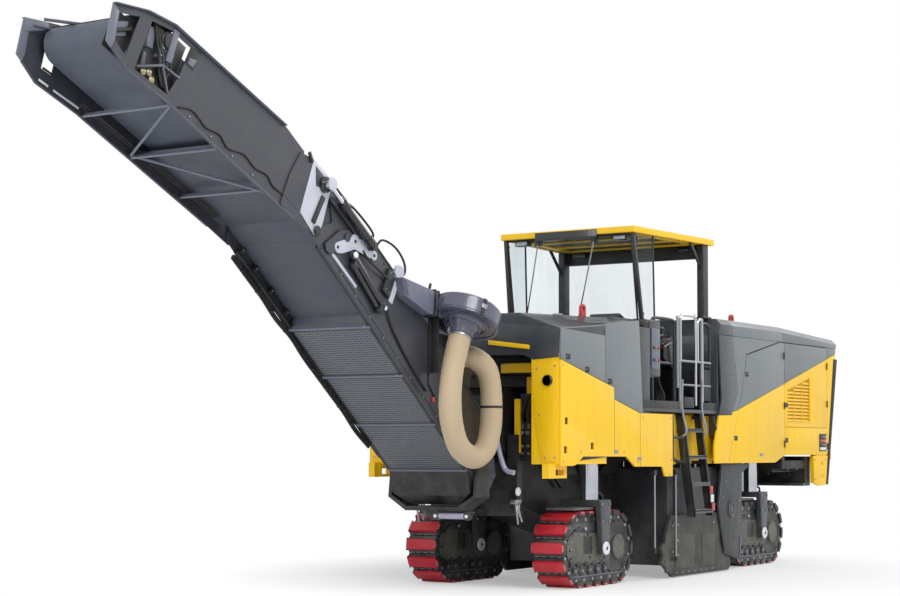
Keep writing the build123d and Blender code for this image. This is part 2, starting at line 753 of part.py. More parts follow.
with BuildPart() as lower_side:
    with BuildSketch(lower_plane(conveyor_half)):
        outline(lower_side_points)
    extrude(amount=conveyor_plate)
    # trunnion that turns in the cradle
    with BuildSketch(side_plane(cradle_y1)):
        with Locations((slew_x, lift_z)):
            Circle(pivot_r)
    extrude(amount=cradle_y1 - conveyor_half)
    # the fold pin's lug, and the pin itself outside it
    with BuildSketch(lower_plane(conveyor_half)):
        outline([(lower_length - fold_clear, 5), (lower_length, fold_v - lug_r),
                 (lower_length, fold_v + lug_r), (lower_length - fold_clear, 300)])
        with Locations((lower_length, fold_v)):
            Circle(lug_r)
    extrude(amount=conveyor_plate)
    with BuildSketch(lower_plane(conveyor_half + 2 * hinge_lug)):
        with Locations((lower_length, fold_v)):
            Circle(fold_pin_r)
    extrude(amount=2 * hinge_lug)
    # the fold cylinder's fixed boss and its pin
    with BuildSketch(lower_plane(cylinder_y - 22)):
        with Locations(fold_anchor):
            Circle(42)
    extrude(amount=cylinder_y - 22 - conveyor_half)
    with BuildSketch(lower_plane(cylinder_y + 26)):
        with Locations(fold_anchor):
            Circle(rod_r)
    extrude(amount=48)
    # the bell crank on its pivot, and the strut that pushes it
    with BuildSketch(lower_plane(crank_y + 16)):
        outline(crank_points)
    extrude(amount=16)
    for (u, v), radius, reach in ((crank_pivot, 40, crank_y + 30), (strut_head, 28, strut_y),
                                  (strut_foot, 28, strut_y)):
        with BuildSketch(lower_plane(reach)):
            with Locations((u, v)):
                Circle(radius)
        extrude(amount=reach - conveyor_half)
    tube_between(lower_point(*strut_foot, strut_y), lower_point(*strut_head, strut_y), strut_r)
keep_pair(lower_side.part, "lower_sides")

inner_half = conveyor_half - conveyor_plate - air
guard_starts = [401.0, 1134.0, 1868.0, 2568.0]
with BuildPart() as lower_guard:
    with BuildSketch(lower_plane(inner_half)):
        outline([(0, 0), (guard_starts[-1], 0), (guard_starts[-1], 12), (0, 12)])
    extrude(amount=2 * inner_half)
    for start in guard_starts:
        with BuildSketch(lower_plane(inner_half)):
            outline([(start - 20, -14), (start + 20, -14), (start + 20, 30), (start - 20, 30)])
        extrude(amount=2 * inner_half)
    # the pan behind them lies deeper between the plates
    with BuildSketch(lower_plane(inner_half)):
        outline([(guard_starts[-1] + 10, 12), (guard_starts[-1] + 60, 95),
                 (lower_length - fold_clear - 5, 95), (lower_length - fold_clear - 5, 105),
                 (guard_starts[-1] + 50, 105), (guard_starts[-1] + 10, 30)])
    extrude(amount=2 * inner_half)
keep(lower_guard.part, "lower_guards")

with BuildPart() as lower_belt:
    with BuildSketch(lower_plane(belt_half)):
        with Locations((lower_length / 2 + 40, belt_v - 75)):
            SlotOverall(lower_length - 2 * fold_clear - 60, 190)
    extrude(amount=2 * belt_half)
    for u in (220.0, lower_length - 289.0):
        tube_between(lower_point(u, belt_v - 75, -inner_half), lower_point(u, belt_v - 75, inner_half), 30)
keep(lower_belt.part, "lower_belt")

# ---------------------------------------------------------------- discharge conveyor: upper section
upper_side_points = [(290.0, 0.0), (2140.0, 0.0), (2640.0, -35.0), (2920.0, 60.0), (upper_length, 380.0),
                     (2645.0, 550.0), (2330.0, 640.0), (2030.0, 650.0), (755.0, 700.0), (420.0, 640.0),
                     (290.0, 140.0)]
fold_pin = lower_point(lower_length, fold_v)
boss = lower_point(*fold_boss)
fold_plate_points = [(-75, 180), (-75, 30), (-40, -5), (300, 5), (520, 30), (520, 330), (470, 600),
                     (290, 642), (30, 619), (-60, 520)]
fold_pads = [[(300, 20), (510, 30), (510, 320), (340, 320)], [(440, 300), (510, 300), (510, 340), (475, 570)]]
drive_window = [(2150, 70), (2560, 35), (2560, 510), (2330, 580), (2080, 590), (2100, 280)]
tip_window = [(2690, 70), (2840, 115), (2895, 345), (2690, 455)]
small_window = [(2681, 272), (2557, 284), (2525, 116), (2650, 104)]
with BuildPart() as upper_side:
    with BuildSketch(upper_plane(conveyor_half)):
        outline(upper_side_points)
    extrude(amount=conveyor_plate)
    # the fold plate lies outside the lower section's plate: it holds the hinge and the cylinder's boss
    with BuildSketch(upper_plane(conveyor_half + air + hinge_lug)):
        outline(fold_plate_points)
    extrude(amount=hinge_lug)
    for pad in fold_pads:
        with BuildSketch(upper_plane(conveyor_half + air)):
            outline(pad)
        extrude(amount=air)
    with BuildSketch(side_plane(conveyor_half + air + hinge_lug)):
        with Locations((fold_pin.X, fold_pin.Z)):
            Circle(fold_pin_r + 0.5)
    extrude(amount=hinge_lug, mode=Mode.SUBTRACT)
    with BuildSketch(side_plane(cylinder_y - 25)):
        with Locations((boss.X, boss.Z)):
            Circle(50)
    extrude(amount=cylinder_y - 25 - conveyor_half - air)
with BuildPart() as upper_pair:
    add(upper_side.part)
    mirror(upper_side.part, about=Plane.XZ)
    # openings at the tip: two beside the drive on the left, a small one on the right
    for plane_y, window in ((conveyor_half + 1, drive_window), (conveyor_half + 1, tip_window),
                            (1 - conveyor_half + conveyor_plate, small_window)):
        with BuildSketch(upper_plane(plane_y)):
            outline(window)
        extrude(amount=conveyor_plate + 2, mode=Mode.SUBTRACT)
keep(upper_pair.part, "upper_sides")

cross_bars = [(740.0, 28.0), (1430.0, 5.0), (2080.0, 5.0)]    # station along the section, underside
brace_r = 14.0
with BuildPart() as upper_pan:
    with BuildSketch(upper_plane(inner_half)):
        outline([(fold_clear + 20, 120), (1370, 105), (1370, 115), (fold_clear + 20, 130)])
    extrude(amount=2 * inner_half)
    for u, low_v in cross_bars:
        with BuildSketch(upper_plane(inner_half)):
            outline([(u - 25, low_v), (u + 25, low_v), (u + 25, low_v + 50), (u - 25, low_v + 50)])
        extrude(amount=2 * inner_half)
    # braces between the bars
    for left_bar, right_bar in ((2, 1), (0, 1)):
        tube_between(upper_point(cross_bars[left_bar][0], 30, inner_half - brace_r),
                     upper_point(cross_bars[right_bar][0], 30, brace_r - inner_half), brace_r)
    # the cover over the head drum
    with BuildSketch(upper_plane(inner_half)):
        outline([(2480, 585), (2650, 535), (2950, 385), (2945, 375), (2645, 523), (2478, 575)])
    extrude(amount=2 * inner_half)
keep(upper_pan.part, "upper_pan")

with BuildPart() as upper_belt:
    with BuildSketch(upper_plane(belt_half)):
        with Locations(((fold_clear + 120 + upper_length - 200) / 2, 330)):
            SlotOverall(upper_length - 200 - fold_clear - 120, 330)
    extrude(amount=2 * belt_half)
    for u in (fold_clear + 290.0, upper_length - 363.0):
        tube_between(upper_point(u, 330, -inner_half), upper_point(u, 330, inner_half), 40)
keep(upper_belt.part, "upper_belt")

# ---------------------------------------------------------------- fold cylinders, one on each side
cylinder_start = lower_point(*fold_anchor)
cylinder_line = boss - cylinder_start
cylinder_dir = cylinder_line.normalized()
barrel_from, barrel_to = 55.0, 590.0
rod_from = 200.0


def along_cylinder(distance, y):
    """A point on a fold cylinder's axis, that far from its fixed eye."""
    place = cylinder_start + cylinder_dir * distance
    return Vector(place.X, y, place.Z)


with BuildPart() as barrels:
    for side in (-1, 1):
        y = side * cylinder_y
        tube_between(along_cylinder(30, y), along_cylinder(barrel_from + 5, y), 19)
        tube_between(along_cylinder(barrel_from, y), along_cylinder(barrel_to, y), barrel_r)
        with BuildSketch(side_plane(y + 20)):
            with Locations((cylinder_start.X, cylinder_start.Z)):
                Circle(44)
        extrude(amount=40)
    for side in (-1, 1):
        y = side * cylinder_y
        with BuildSketch(side_plane(y + 40)):
            with Locations((cylinder_start.X, cylinder_start.Z)):
                Circle(rod_r + 0.5)
        extrude(amount=80, mode=Mode.SUBTRACT)
        bore = along_cylinder((rod_from - 20 + barrel_to) / 2 + 1, y)
        with Locations(Plane(origin=bore, z_dir=cylinder_dir)):
            Cylinder(rod_r + 0.5, barrel_to - rod_from + 22, mode=Mode.SUBTRACT)
keep(barrels.part, "fold_barrels")

with BuildPart() as rods:
    for side in (-1, 1):
        y = side * cylinder_y
        tube_between(along_cylinder(rod_from, y), along_cylinder(cylinder_line.length - 20, y), rod_r)
        with BuildSketch(side_plane(y + 20)):
            with Locations((boss.X, boss.Z)):
                Circle(44)
        extrude(amount=40)
keep(rods.part, "fold_rods")

# ---------------------------------------------------------------- lower section: apron under its tail
apron_top = lower_plane(0).from_local_coords((379, -air, 0))
apron_back = lower_plane(0).from_local_coords((30, -air, 0))
apron_z = cradle_z0 + 64.0
with BuildPart() as apron:
    with BuildSketch(side_plane(inner_half)):
        outline([(apron_top.X, apron_top.Z), (apron_back.X, apron_back.Z),
                 (slew_x - 60, apron_z), (slew_x + 65, apron_z), (slew_x + 140, apron_z + 96)])
    extrude(amount=2 * inner_half)
    # its lower corners follow the cradle's
    with BuildSketch(cross_plane(slew_x)):
        for side in (-1, 1):
            outline([(side * 300, apron_z - 12), (side * (inner_half + 10), apron_z + 134),
                     (side * (inner_half + 10), apron_z - 12)])
    extrude(amount=300, both=True, mode=Mode.SUBTRACT)
keep(apron.part, "lower_apron")

# ---------------------------------------------------------------- dust suction: cover, blower, hose
with BuildPart() as cover:
    with BuildSketch(lower_plane(inner_half)):
        outline([(900, lower_top_v + 40), (1000, cover_v), (1370, cover_v), (1760, lower_top_v + 45),
                 (1760, belt_v + 130), (900, belt_v + 130)])
    extrude(amount=2 * inner_half)
    with BuildSketch(lower_plane(belt_half + 10)):
        outline([(890, belt_v + 120), (890, cover_v - 60), (1030, cover_v - 20), (1350, cover_v - 20),
                 (1770, lower_top_v + 15), (1770, belt_v + 120)])
    extrude(amount=2 * (belt_half + 10), mode=Mode.SUBTRACT)
keep(cover.part, "dust_cover")

lean = radians(blower_lean)
blower_plane = Plane(origin=(blower_x, blower_y, blower_z), x_dir=(cos(lean), 0, sin(lean)),
                     z_dir=(-sin(lean), 0, cos(lean)))
blower_posts = [                        # forward of the blower's middle, height of its top
    (-100.0, blower_z - 99.0),
    (270.0, blower_z + 61.0),
]
with BuildPart() as blower:
    with BuildSketch(blower_plane.offset(-blower_half)):
        Circle(blower_r)
    extrude(amount=2 * blower_half)
    with BuildSketch(blower_plane.offset(-blower_half)):
        Circle(230)
    with BuildSketch(blower_plane.offset(-blower_half - inlet_depth)):
        Circle(inlet_r)
    loft()
    # outlet duct along the outside of the conveyor's plate
    with BuildSketch(side_plane(conveyor_half + outlet_width)):
        outline([(blower_x + 133, blower_z - 39), (blower_x + 133, blower_z + 201),
                 (drum_x + 4790, blower_z + 215), (drum_x + 5380, blower_z + 319),
                 (drum_x + 5330, blower_z + 138), (drum_x + 4940, blower_z - 4)])
    extrude(amount=outlet_width - air)
    # brackets down to the conveyor's plate
    for offset, top_z in blower_posts:
        box(blower_x + offset - 35, blower_x + offset + 35, conveyor_half + air, conveyor_half + 110,
            2240, top_z)
keep(blower.part, "blower")

inlet_heading = (sin(lean), 0, -cos(lean))
hose_foot = tuple(blower_plane.from_local_coords((0, 0, -blower_half - inlet_depth - air)))
hose_entry_x = drum_x + 4225.0
hose_entry_z = 2425.0
hose_points = [                         # the loose loop, from under the blower to beside its entry
    hose_foot, (drum_x + 4735, hose_y, 2246), (drum_x + 4772, hose_y, 1970),
    (drum_x + 4735, hose_y, 1725), (drum_x + 4600, hose_y, 1505), (drum_x + 4345, hose_y, 1405),
    (drum_x + 4128, hose_y, 1489), (drum_x + 4034, hose_y, 1682), (drum_x + 4012, hose_y, 1915),
    (drum_x + 4030, hose_y - 2, 2139), (drum_x + 4090, hose_y - 22, 2310),
    (hose_entry_x, hose_y - 125, hose_entry_z),
]
hose_runs = 24
hose_sides = 14


def carried_round(vector, before, after):
    """A crosswise vector, turned as a route turns from one direction to the next."""
    turn = before.get_angle(after)
    if turn < 0.01:
        return vector
    return vector.rotate(Axis((0, 0, 0), before.cross(after)), turn)


with BuildLine() as hose_route:
    Spline(*hose_points, tangents=[inlet_heading, (0, -1, 0)])
stations = [hose_route.line @ (run / hose_runs) for run in range(hose_runs + 1)]
stations.append(Vector(hose_entry_x, inner_half + air, hose_entry_z))
headings = [(after - before).normalized() for before, after in zip(stations, stations[1:])]
headings[0] = Vector(*inlet_heading)
headings[-1] = Vector(0, -1, 0)
across = Vector(0, 1, 0)
pieces = []
for run, heading in enumerate(headings):
    before = headings[max(run - 1, 0)]
    after = headings[min(run + 1, hose_runs)]
    across = carried_round(across, before, heading)
    start, end = stations[run], stations[run + 1]
    # a straight many-sided run, mitred to its neighbours
    with BuildPart() as piece:
        with BuildSketch(Plane(origin=start - heading * hose_r, x_dir=across, z_dir=heading)):
            RegularPolygon(hose_r, hose_sides)
        extrude(amount=(end - start).length + 2 * hose_r)
        split(bisect_by=Plane(origin=start, z_dir=before + heading), keep=Keep.TOP)
        split(bisect_by=Plane(origin=end, z_dir=heading + after), keep=Keep.BOTTOM)
    pieces.append(piece.part)
with BuildPart() as hose:
    for piece in pieces:
        add(piece)
keep(hose.part, "suction_hose")
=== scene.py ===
import json
from math import atan2, cos, pi, radians, sin

import bmesh
import bpy
from mathutils import Matrix, Vector


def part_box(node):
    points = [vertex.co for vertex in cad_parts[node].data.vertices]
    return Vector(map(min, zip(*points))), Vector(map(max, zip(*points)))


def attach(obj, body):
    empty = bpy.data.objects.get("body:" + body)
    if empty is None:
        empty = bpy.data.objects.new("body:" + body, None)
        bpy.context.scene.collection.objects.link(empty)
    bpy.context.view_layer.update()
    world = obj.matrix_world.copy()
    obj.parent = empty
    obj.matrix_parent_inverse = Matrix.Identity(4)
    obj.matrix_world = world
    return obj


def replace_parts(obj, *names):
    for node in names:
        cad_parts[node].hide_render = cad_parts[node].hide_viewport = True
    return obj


# Cold planer dressed over its CAD frame. Metres, +X forward, +Y the machine's left, +Z up.
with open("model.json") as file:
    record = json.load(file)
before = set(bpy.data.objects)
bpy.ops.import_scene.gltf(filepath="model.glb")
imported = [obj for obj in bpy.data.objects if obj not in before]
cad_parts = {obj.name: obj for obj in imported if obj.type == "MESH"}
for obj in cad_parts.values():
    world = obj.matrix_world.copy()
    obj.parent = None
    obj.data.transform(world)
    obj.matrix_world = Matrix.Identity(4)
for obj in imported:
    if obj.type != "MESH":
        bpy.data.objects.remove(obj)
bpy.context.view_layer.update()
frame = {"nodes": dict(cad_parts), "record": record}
cad_nodes = frame["nodes"]
joints = {joint["name"]: joint for joint in frame["record"]["behaviour"]["joints"]}

# ---- stations taken from the frame
drum_low, drum_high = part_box("milling_drum")
drum_x = (drum_low.x + drum_high.x) / 2
flank_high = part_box("flank_panels")[1]
side_y, front_x = flank_high.y, flank_high.x
platform_low, platform_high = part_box("platform_floor")
floor_z = platform_high.z
roof_low, roof_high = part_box("roof")
hood_low, hood_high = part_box("hood_top")
SIDES = (1, -1)
LEFT_RIGHT = (("left", 1), ("right", -1))
CORNERS = ("front_left", "front_right", "rear_left", "rear_right")


def at(station):
    """A station measured from the drum's axis, as a place along the machine."""
    return drum_x + station


def stations(points):
    return [(at(x), z) for x, z in points]


# ---- the conveyor's two section planes
fold_x, _, fold_z = joints["conveyor_fold"]["pos_m"]
LOWER_SLOPE, UPPER_SLOPE = radians(39.4), radians(25.1)
LOWER_LONG = 3.769  # foot to fold along the lower section
FOLD_RISE = 0.07  # fold pin above the lower section's line
lower_origin = Vector((fold_x - LOWER_LONG * cos(LOWER_SLOPE) + FOLD_RISE * sin(LOWER_SLOPE), 0,
    fold_z - LOWER_LONG * sin(LOWER_SLOPE) - FOLD_RISE * cos(LOWER_SLOPE)))
upper_origin = lower_origin + LOWER_LONG * Vector((cos(LOWER_SLOPE), 0, sin(LOWER_SLOPE)))
plate_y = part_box("lower_guards")[1].y + 0.0103  # outer face of the conveyor's side plates


def section_matrix(origin, slope, y, side):
    """Places a drawing of a section: first axis up along it, second square to it, third outwards."""
    along = Vector((cos(slope), 0, sin(slope)))
    square = Vector((-sin(slope), 0, cos(slope)))
    matrix = Matrix((along, square, (0, side, 0))).transposed().to_4x4()
    matrix.translation = origin + Vector((0, side * y, 0))
    return matrix


def lower_at(y=0, side=1):
    return section_matrix(lower_origin, LOWER_SLOPE, y, side)


def upper_at(y=0, side=1):
    return section_matrix(upper_origin, UPPER_SLOPE, y, side)


def side_at(y, side=1):
    """Places a drawing made in X and Z on a side of the machine, thickness outwards."""
    return Matrix(((1, 0, 0, 0), (0, 0, side, side * y), (0, 1, 0, 0), (0, 0, 0, 1)))


def front_at(x, facing=1):
    """Places a drawing made in Y and Z across the machine, thickness forwards."""
    return Matrix(((0, 0, facing, x), (1, 0, 0, 0), (0, 1, 0, 0), (0, 0, 0, 1)))


def level_at(z):
    """Places a drawing made in X and Y at a height, thickness upwards."""
    return Matrix.Translation((0, 0, z))


def tilted(point, angle, axis="Y"):
    """Places a drawing at a point, turned about one axis."""
    return Matrix.Translation(point) @ Matrix.Rotation(angle, 4, axis)


def ring(centre, across, angles, tall=None):
    """Points round a centre: at the angles given, or as many even steps as the number given."""
    if isinstance(angles, int):
        angles = [2 * pi * step / angles for step in range(angles)]
    return [(centre[0] + across * cos(angle), centre[1] + (tall or across) * sin(angle)) for angle in angles]


# ---- mesh building
def soften(part, width, steps=2):
    """Rounds a solid's sharp edges."""
    sharp = [edge for edge in part.edges if len(edge.link_faces) == 2 and edge.calc_face_angle(0) > 0.5]
    if width > 0 and sharp:
        bmesh.ops.bevel(part, geom=sharp, offset=width, segments=steps, profile=0.6, affect="EDGES",
            clamp_overlap=True)


def aimed(start, direction):
    """Stands a drawing's third axis along a direction."""
    turn = Vector(direction).to_track_quat("Z", "Y").to_matrix().to_4x4()
    turn.translation = start
    return turn


def stand(name, mesh):
    made = bpy.data.objects.new(name, mesh)
    bpy.context.scene.collection.objects.link(made)
    return made


class Piece:
    """One visible piece: parts in several finishes gathered into one mesh.

    Its place is where drawings are laid, until a call gives another one.
    """

    def __init__(self, name, slot=None, body="chassis"):
        self.name, self.body, self.slot = name, body, slot
        self.mesh, self.finishes, self.place = bmesh.new(), [], Matrix()

    def take(self, part, finish, place=None, turn=Matrix(), smooth=35):
        bmesh.ops.transform(part, matrix=(place or self.place) @ turn, verts=part.verts)
        bmesh.ops.recalc_face_normals(part, faces=part.faces)
        if finish not in self.finishes:
            self.finishes.append(finish)
        for face in part.faces:
            face.material_index, face.smooth = self.finishes.index(finish), True
        for edge in part.edges:
            edge.smooth = len(edge.link_faces) == 2 and edge.calc_face_angle(0) < radians(smooth)
        holder = bpy.data.meshes.new("holder")
        part.to_mesh(holder)
        part.free()
        self.mesh.from_mesh(holder)
        bpy.data.meshes.remove(holder)

    def each(self, make, *rows, place=None):
        """Makes one part for each row of measures."""
        for row in rows:
            make(*row, place=place)

    def plate(self, outline, low, high, finish, edge=0.003, holes=(), steps=2, place=None):
        """A flat plate cut to an outline, between two depths of its drawing."""
        part = bmesh.new()
        rims = []
        for rim in (outline, *holes):
            corners = [part.verts.new((a, b, low)) for a, b in rim]
            rims += [part.edges.new((corners[k], corners[k - 1])) for k in range(len(corners))]
        bmesh.ops.triangle_fill(part, use_beauty=True, edges=rims, normal=(0, 0, 1))
        raised = bmesh.ops.extrude_face_region(part, geom=part.faces[:], use_keep_orig=True)["geom"]
        bmesh.ops.translate(part, verts=[v for v in raised if isinstance(v, bmesh.types.BMVert)],
            vec=(0, 0, high - low))
        bmesh.ops.recalc_face_normals(part, faces=part.faces)
        bmesh.ops.dissolve_limit(part, angle_limit=0.01, verts=part.verts, edges=part.edges)
        soften(part, edge, steps)
        self.take(part, finish, place)

    def block(self, low, high, finish, edge=0.004, steps=2, place=None):
        """A rounded block between two corners of its drawing."""
        part = bmesh.new()
        low, high = Vector(low), Vector(high)
        size = Vector(map(abs, high - low))
        bmesh.ops.create_cube(part, size=1)
        bmesh.ops.scale(part, vec=size, verts=part.verts)
        bmesh.ops.translate(part, vec=(low + high) / 2, verts=part.verts)
        soften(part, min(edge, min(size) / 3), steps)
        self.take(part, finish, place)

    def rod(self, start, end, radius, finish, sides=20, edge=0, end_radius=None, place=None):
        """A round bar or cone between two points of its drawing."""
        start, end = Vector(start), Vector(end)
        part = bmesh.new()
        bmesh.ops.create_cone(part, cap_ends=True, segments=sides, radius1=radius,
            radius2=radius if end_radius is None else end_radius, depth=(end - start).length)
        soften(part, edge)
        self.take(part, finish, place, aimed((start + end) / 2, end - start))

    def turned(self, profile, start, finish, sides=40, smooth=30, direction=(0, 0, 1), place=None):
        """A turned form: (radius, height) pairs spun round an axis."""
        part = bmesh.new()
        rings = [[part.verts.new((*spot, height)) for spot in ring((0, 0), radius, sides if radius > 1e-6 else 1)]
            for radius, height in profile]
        for low, high in zip(rings, rings[1:]):
            for k in range(sides):
                corners = tuple(dict.fromkeys((low[k % len(low)], low[(k + 1) % len(low)], high[(k + 1) % len(high)],
                    high[k % len(high)])))
                if len(corners) > 2:
                    part.faces.new(corners)
        for rim in (rings[0], rings[-1]):
            if len(rim) > 1:
                part.faces.new(rim)
        self.take(part, finish, place, aimed(start, direction), smooth)

    def tube(self, points, radius, finish, sides=16, steps=6, radii=None, place=None):
        """A bent round bar or hose along a smooth line through points."""
        line = smooth_line(points, steps)
        part = bmesh.new()
        across = (line[1] - line[0]).normalized().orthogonal().normalized()
        rings = []
        for k, point in enumerate(line):
            ahead = (line[min(k + 1, len(line) - 1)] - line[max(k - 1, 0)]).normalized()
            across = (across - ahead * across.dot(ahead)).normalized()
            up = ahead.cross(across)
            wide = radii(k / (len(line) - 1)) if radii else radius
            rings.append([part.verts.new(point + across * a + up * b) for a, b in ring((0, 0), wide, sides)])
        for low, high in zip(rings, rings[1:]):
            for k in range(sides):
                part.faces.new((low[k - 1], low[k], high[k], high[k - 1]))
        for rim in (rings[0], rings[-1]):
            part.faces.new(rim)
        self.take(part, finish, place, smooth=50)

    def bolts(self, places, finish, radius=0.011, height=0.008, depth=0, place=None):
        """Hexagon bolt heads standing on a drawing's plane."""
        for a, b in places:
            self.rod((a, b, depth), (a, b, depth + height), radius, finish, 6, 0.0015, place=place)

    def done(self):
        mesh = bpy.data.meshes.new(self.name)
        self.mesh.to_mesh(mesh)
        self.mesh.free()
        for finish in self.finishes:
            mesh.materials.append(finish)
        made = stand(self.name, mesh)
        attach(made, self.body)
        return made


def smooth_line(points, steps):
    """Points of a smooth line through the given ones."""
    knots = [Vector(point) for point in points]
    if steps <= 1 or len(knots) < 3:
        return knots
    knots = [2 * knots[0] - knots[1], *knots, 2 * knots[-1] - knots[-2]]
    line = []
    for a, b, c, d in zip(knots, knots[1:], knots[2:], knots[3:]):
        for step in range(steps):
            t = step / steps
            line.append(0.5 * (2 * b + (c - a) * t + (2 * a - 5 * b + 4 * c - d) * t * t + (3 * b - 3 * c + d - a)
                * t ** 3))
    return [*line, knots[-2]]


# ---- finishes
def display(*steps):
    """A colour written in display steps from 0 to 255."""
    return tuple(((s / 255 + 0.055) / 1.055) ** 2.4 if s > 10 else s / 255 / 12.92 for s in steps) + (1,)


class Nodes:
    """Adds shader nodes to a tree and links them."""

    def __init__(self, tree):
        self.tree = tree

    def put(self, value, socket):
        if isinstance(value, bpy.types.NodeSocket):
            self.tree.links.new(value, socket)
        else:
            socket.default_value = value

    def add(self, kind, **inputs):
        node = self.tree.nodes.new("ShaderNode" + kind)
        for name, value in inputs.items():
            self.put(value, node.inputs[name.replace("_", " ")])
        return node

    def noise(self, place, scale, detail=3, rough=0.55):
        return self.add("TexNoise", Vector=place, Scale=scale, Detail=detail, Roughness=rough).outputs["Fac"]

    def span(self, value, low, high, to_low=0, to_high=1):
        """Maps a value from one span to another, held at both ends."""
        return self.add("MapRange", Value=value, From_Min=low, From_Max=high, To_Min=to_low,
            To_Max=to_high).outputs["Result"]

    def sum(self, operation, first, second):
        node = self.tree.nodes.new("ShaderNodeMath")
        node.operation = operation
        self.put(first, node.inputs[0])
        self.put(second, node.inputs[1])
        return node.outputs[0]

    def blend(self, share, first, second, way="MIX"):
        node = self.tree.nodes.new("ShaderNodeMix")
        node.data_type = "RGBA"
        node.blend_type = way
        self.put(share, node.inputs[0])
        self.put(first, node.inputs[6])
        self.put(second, node.inputs[7])
        return node.outputs[2]

    def choose(self, share, first, second, result):
        """Blends two shaders into a tree's output."""
        mix = self.add("MixShader")
        for socket, value in zip(mix.inputs, (share, first.outputs[0], second.outputs[0])):
            self.put(value, socket)
        self.put(mix.outputs[0], result.inputs["Surface"])


def effect(name, inputs, outputs):
    """An empty node group with named sockets."""
    tree = bpy.data.node_groups.new(name, "ShaderNodeTree")
    for label, kind, usual in inputs:
        socket = tree.interface.new_socket(label, in_out="INPUT", socket_type="NodeSocket" + kind)
        socket.default_value = usual
    for label, kind in outputs:
        tree.interface.new_socket(label, in_out="OUTPUT", socket_type="NodeSocket" + kind)
    nodes = Nodes(tree)
    return nodes, tree.nodes.new("NodeGroupInput").outputs, tree.nodes.new("NodeGroupOutput").inputs


def coated_surface():
    """Paint or metal in use: tone, streaks, road dust that thins with height, and fine chips."""
    nodes, given, result = effect("Coated surface", [("Colour", "Color", (0.5, 0.5, 0.5, 1)),
        ("Worn colour", "Color", (0.1, 0.1, 0.1, 1)), ("Dust colour", "Color", (0.3, 0.27, 0.22, 1)),
        ("Roughness", "Float", 0.4), ("Dust", "Float", 0.3), ("Wear", "Float", 0.2), ("Grain", "Float", 120)],
        [("Colour", "Color"), ("Roughness", "Float"), ("Height", "Float")])
    place = nodes.add("TexCoord").outputs["Object"]
    height = nodes.add("SeparateXYZ", Vector=place).outputs["Z"]
    stretched = nodes.add("Mapping", Vector=place, Scale=(9, 9, 0.7)).outputs["Vector"]
    tone = nodes.span(nodes.noise(place, 0.9), 0.3, 0.7, 0.94, 1.05)
    streak = nodes.span(nodes.noise(stretched, 1, 4), 0.45, 0.75, 1, 0.93)
    grey = nodes.sum("MULTIPLY", tone, streak)
    base = nodes.blend(1, given["Colour"], nodes.add("CombineColor", Red=grey, Green=grey,
        Blue=grey).outputs["Color"], "MULTIPLY")
    low_down = nodes.span(height, 1.5, 0, 0.22, 1)
    cloud = nodes.span(nodes.noise(place, 5, 6, 0.65), 0.4, 0.75)
    dusty = nodes.sum("MULTIPLY", nodes.sum("MULTIPLY", low_down, cloud), given["Dust"])
    dusted = nodes.blend(dusty, base, given["Dust colour"])
    speck = nodes.noise(place, 38, 5, 0.7)
    edge = nodes.sum("SUBTRACT", 0.8, nodes.sum("MULTIPLY", given["Wear"], 0.14))
    chip = nodes.sum("GREATER_THAN", speck, edge)
    nodes.put(nodes.blend(chip, dusted, given["Worn colour"]), result["Colour"])
    matt = nodes.sum("ADD", given["Roughness"], nodes.sum("MULTIPLY", dusty, 0.35))
    uneven = nodes.span(nodes.noise(place, 14), 0.3, 0.7, -0.05, 0.06)
    nodes.put(nodes.sum("ADD", matt, uneven), result["Roughness"])
    fine = nodes.noise(place, given["Grain"], 2)
    nodes.put(nodes.sum("SUBTRACT", nodes.sum("ADD", fine, nodes.sum("MULTIPLY", dusty, 0.8)),
        nodes.sum("MULTIPLY", chip, 0.8)), result["Height"])
    return nodes.tree


def punched_pattern():
    """Rows of round dimples along the lower section, as in punched guard sheet, darkened at their centres as painted
    shade.
    """
    nodes, given, result = effect("Punched sheet", [("Colour", "Color", (0.5, 0.5, 0.5, 1)),
        ("Hole colour", "Color", (0.05, 0.05, 0.05, 1)), ("Pitch", "Float", 30), ("Hole", "Float", 0.3)],
        [("Colour", "Color"), ("Height", "Float")])
    place = nodes.add("TexCoord").outputs["Object"]
    turned = nodes.add("Mapping", Vector=place, Rotation=(0, LOWER_SLOPE, 0)).outputs["Vector"]
    flat = nodes.add("Mapping", Vector=turned, Scale=(1, 1, 0)).outputs["Vector"]
    cells = nodes.add("TexVoronoi", Vector=flat, Scale=given["Pitch"], Randomness=0)
    dimple_depth_and_shade = nodes.span(cells.outputs["Distance"], given["Hole"], nodes.sum("ADD", given["Hole"], 0.12))
    nodes.put(nodes.blend(dimple_depth_and_shade, given["Hole colour"], given["Colour"]), result["Colour"])
    nodes.put(dimple_depth_and_shade, result["Height"])
    return nodes.tree


surface_tree = coated_surface()
punched_tree = punched_pattern()


def start_material(name):
    material = bpy.data.materials.new(name)
    material.use_nodes = True
    nodes = Nodes(material.node_tree)
    return material, nodes, material.node_tree.nodes["Principled BSDF"].inputs


def use_group(nodes, tree, **inputs):
    node = nodes.tree.nodes.new("ShaderNodeGroup")
    node.node_tree = tree
    for name, value in inputs.items():
        nodes.put(value, node.inputs[name.replace("_", " ")])
    return node.outputs


ROAD_DUST = display(150, 142, 128)


def surfaced(name, colour, worn, roughness, dust, wear, grain):
    """Starts a material whose colour and roughness come from the coated surface."""
    material, nodes, shader = start_material(name)
    got = use_group(nodes, surface_tree, Colour=display(*colour), Worn_colour=display(*worn), Dust_colour=ROAD_DUST,
        Roughness=roughness, Dust=dust, Wear=wear, Grain=grain)
    nodes.put(got["Colour"], shader["Base Color"])
    nodes.put(got["Roughness"], shader["Roughness"])
    return material, nodes, shader, got


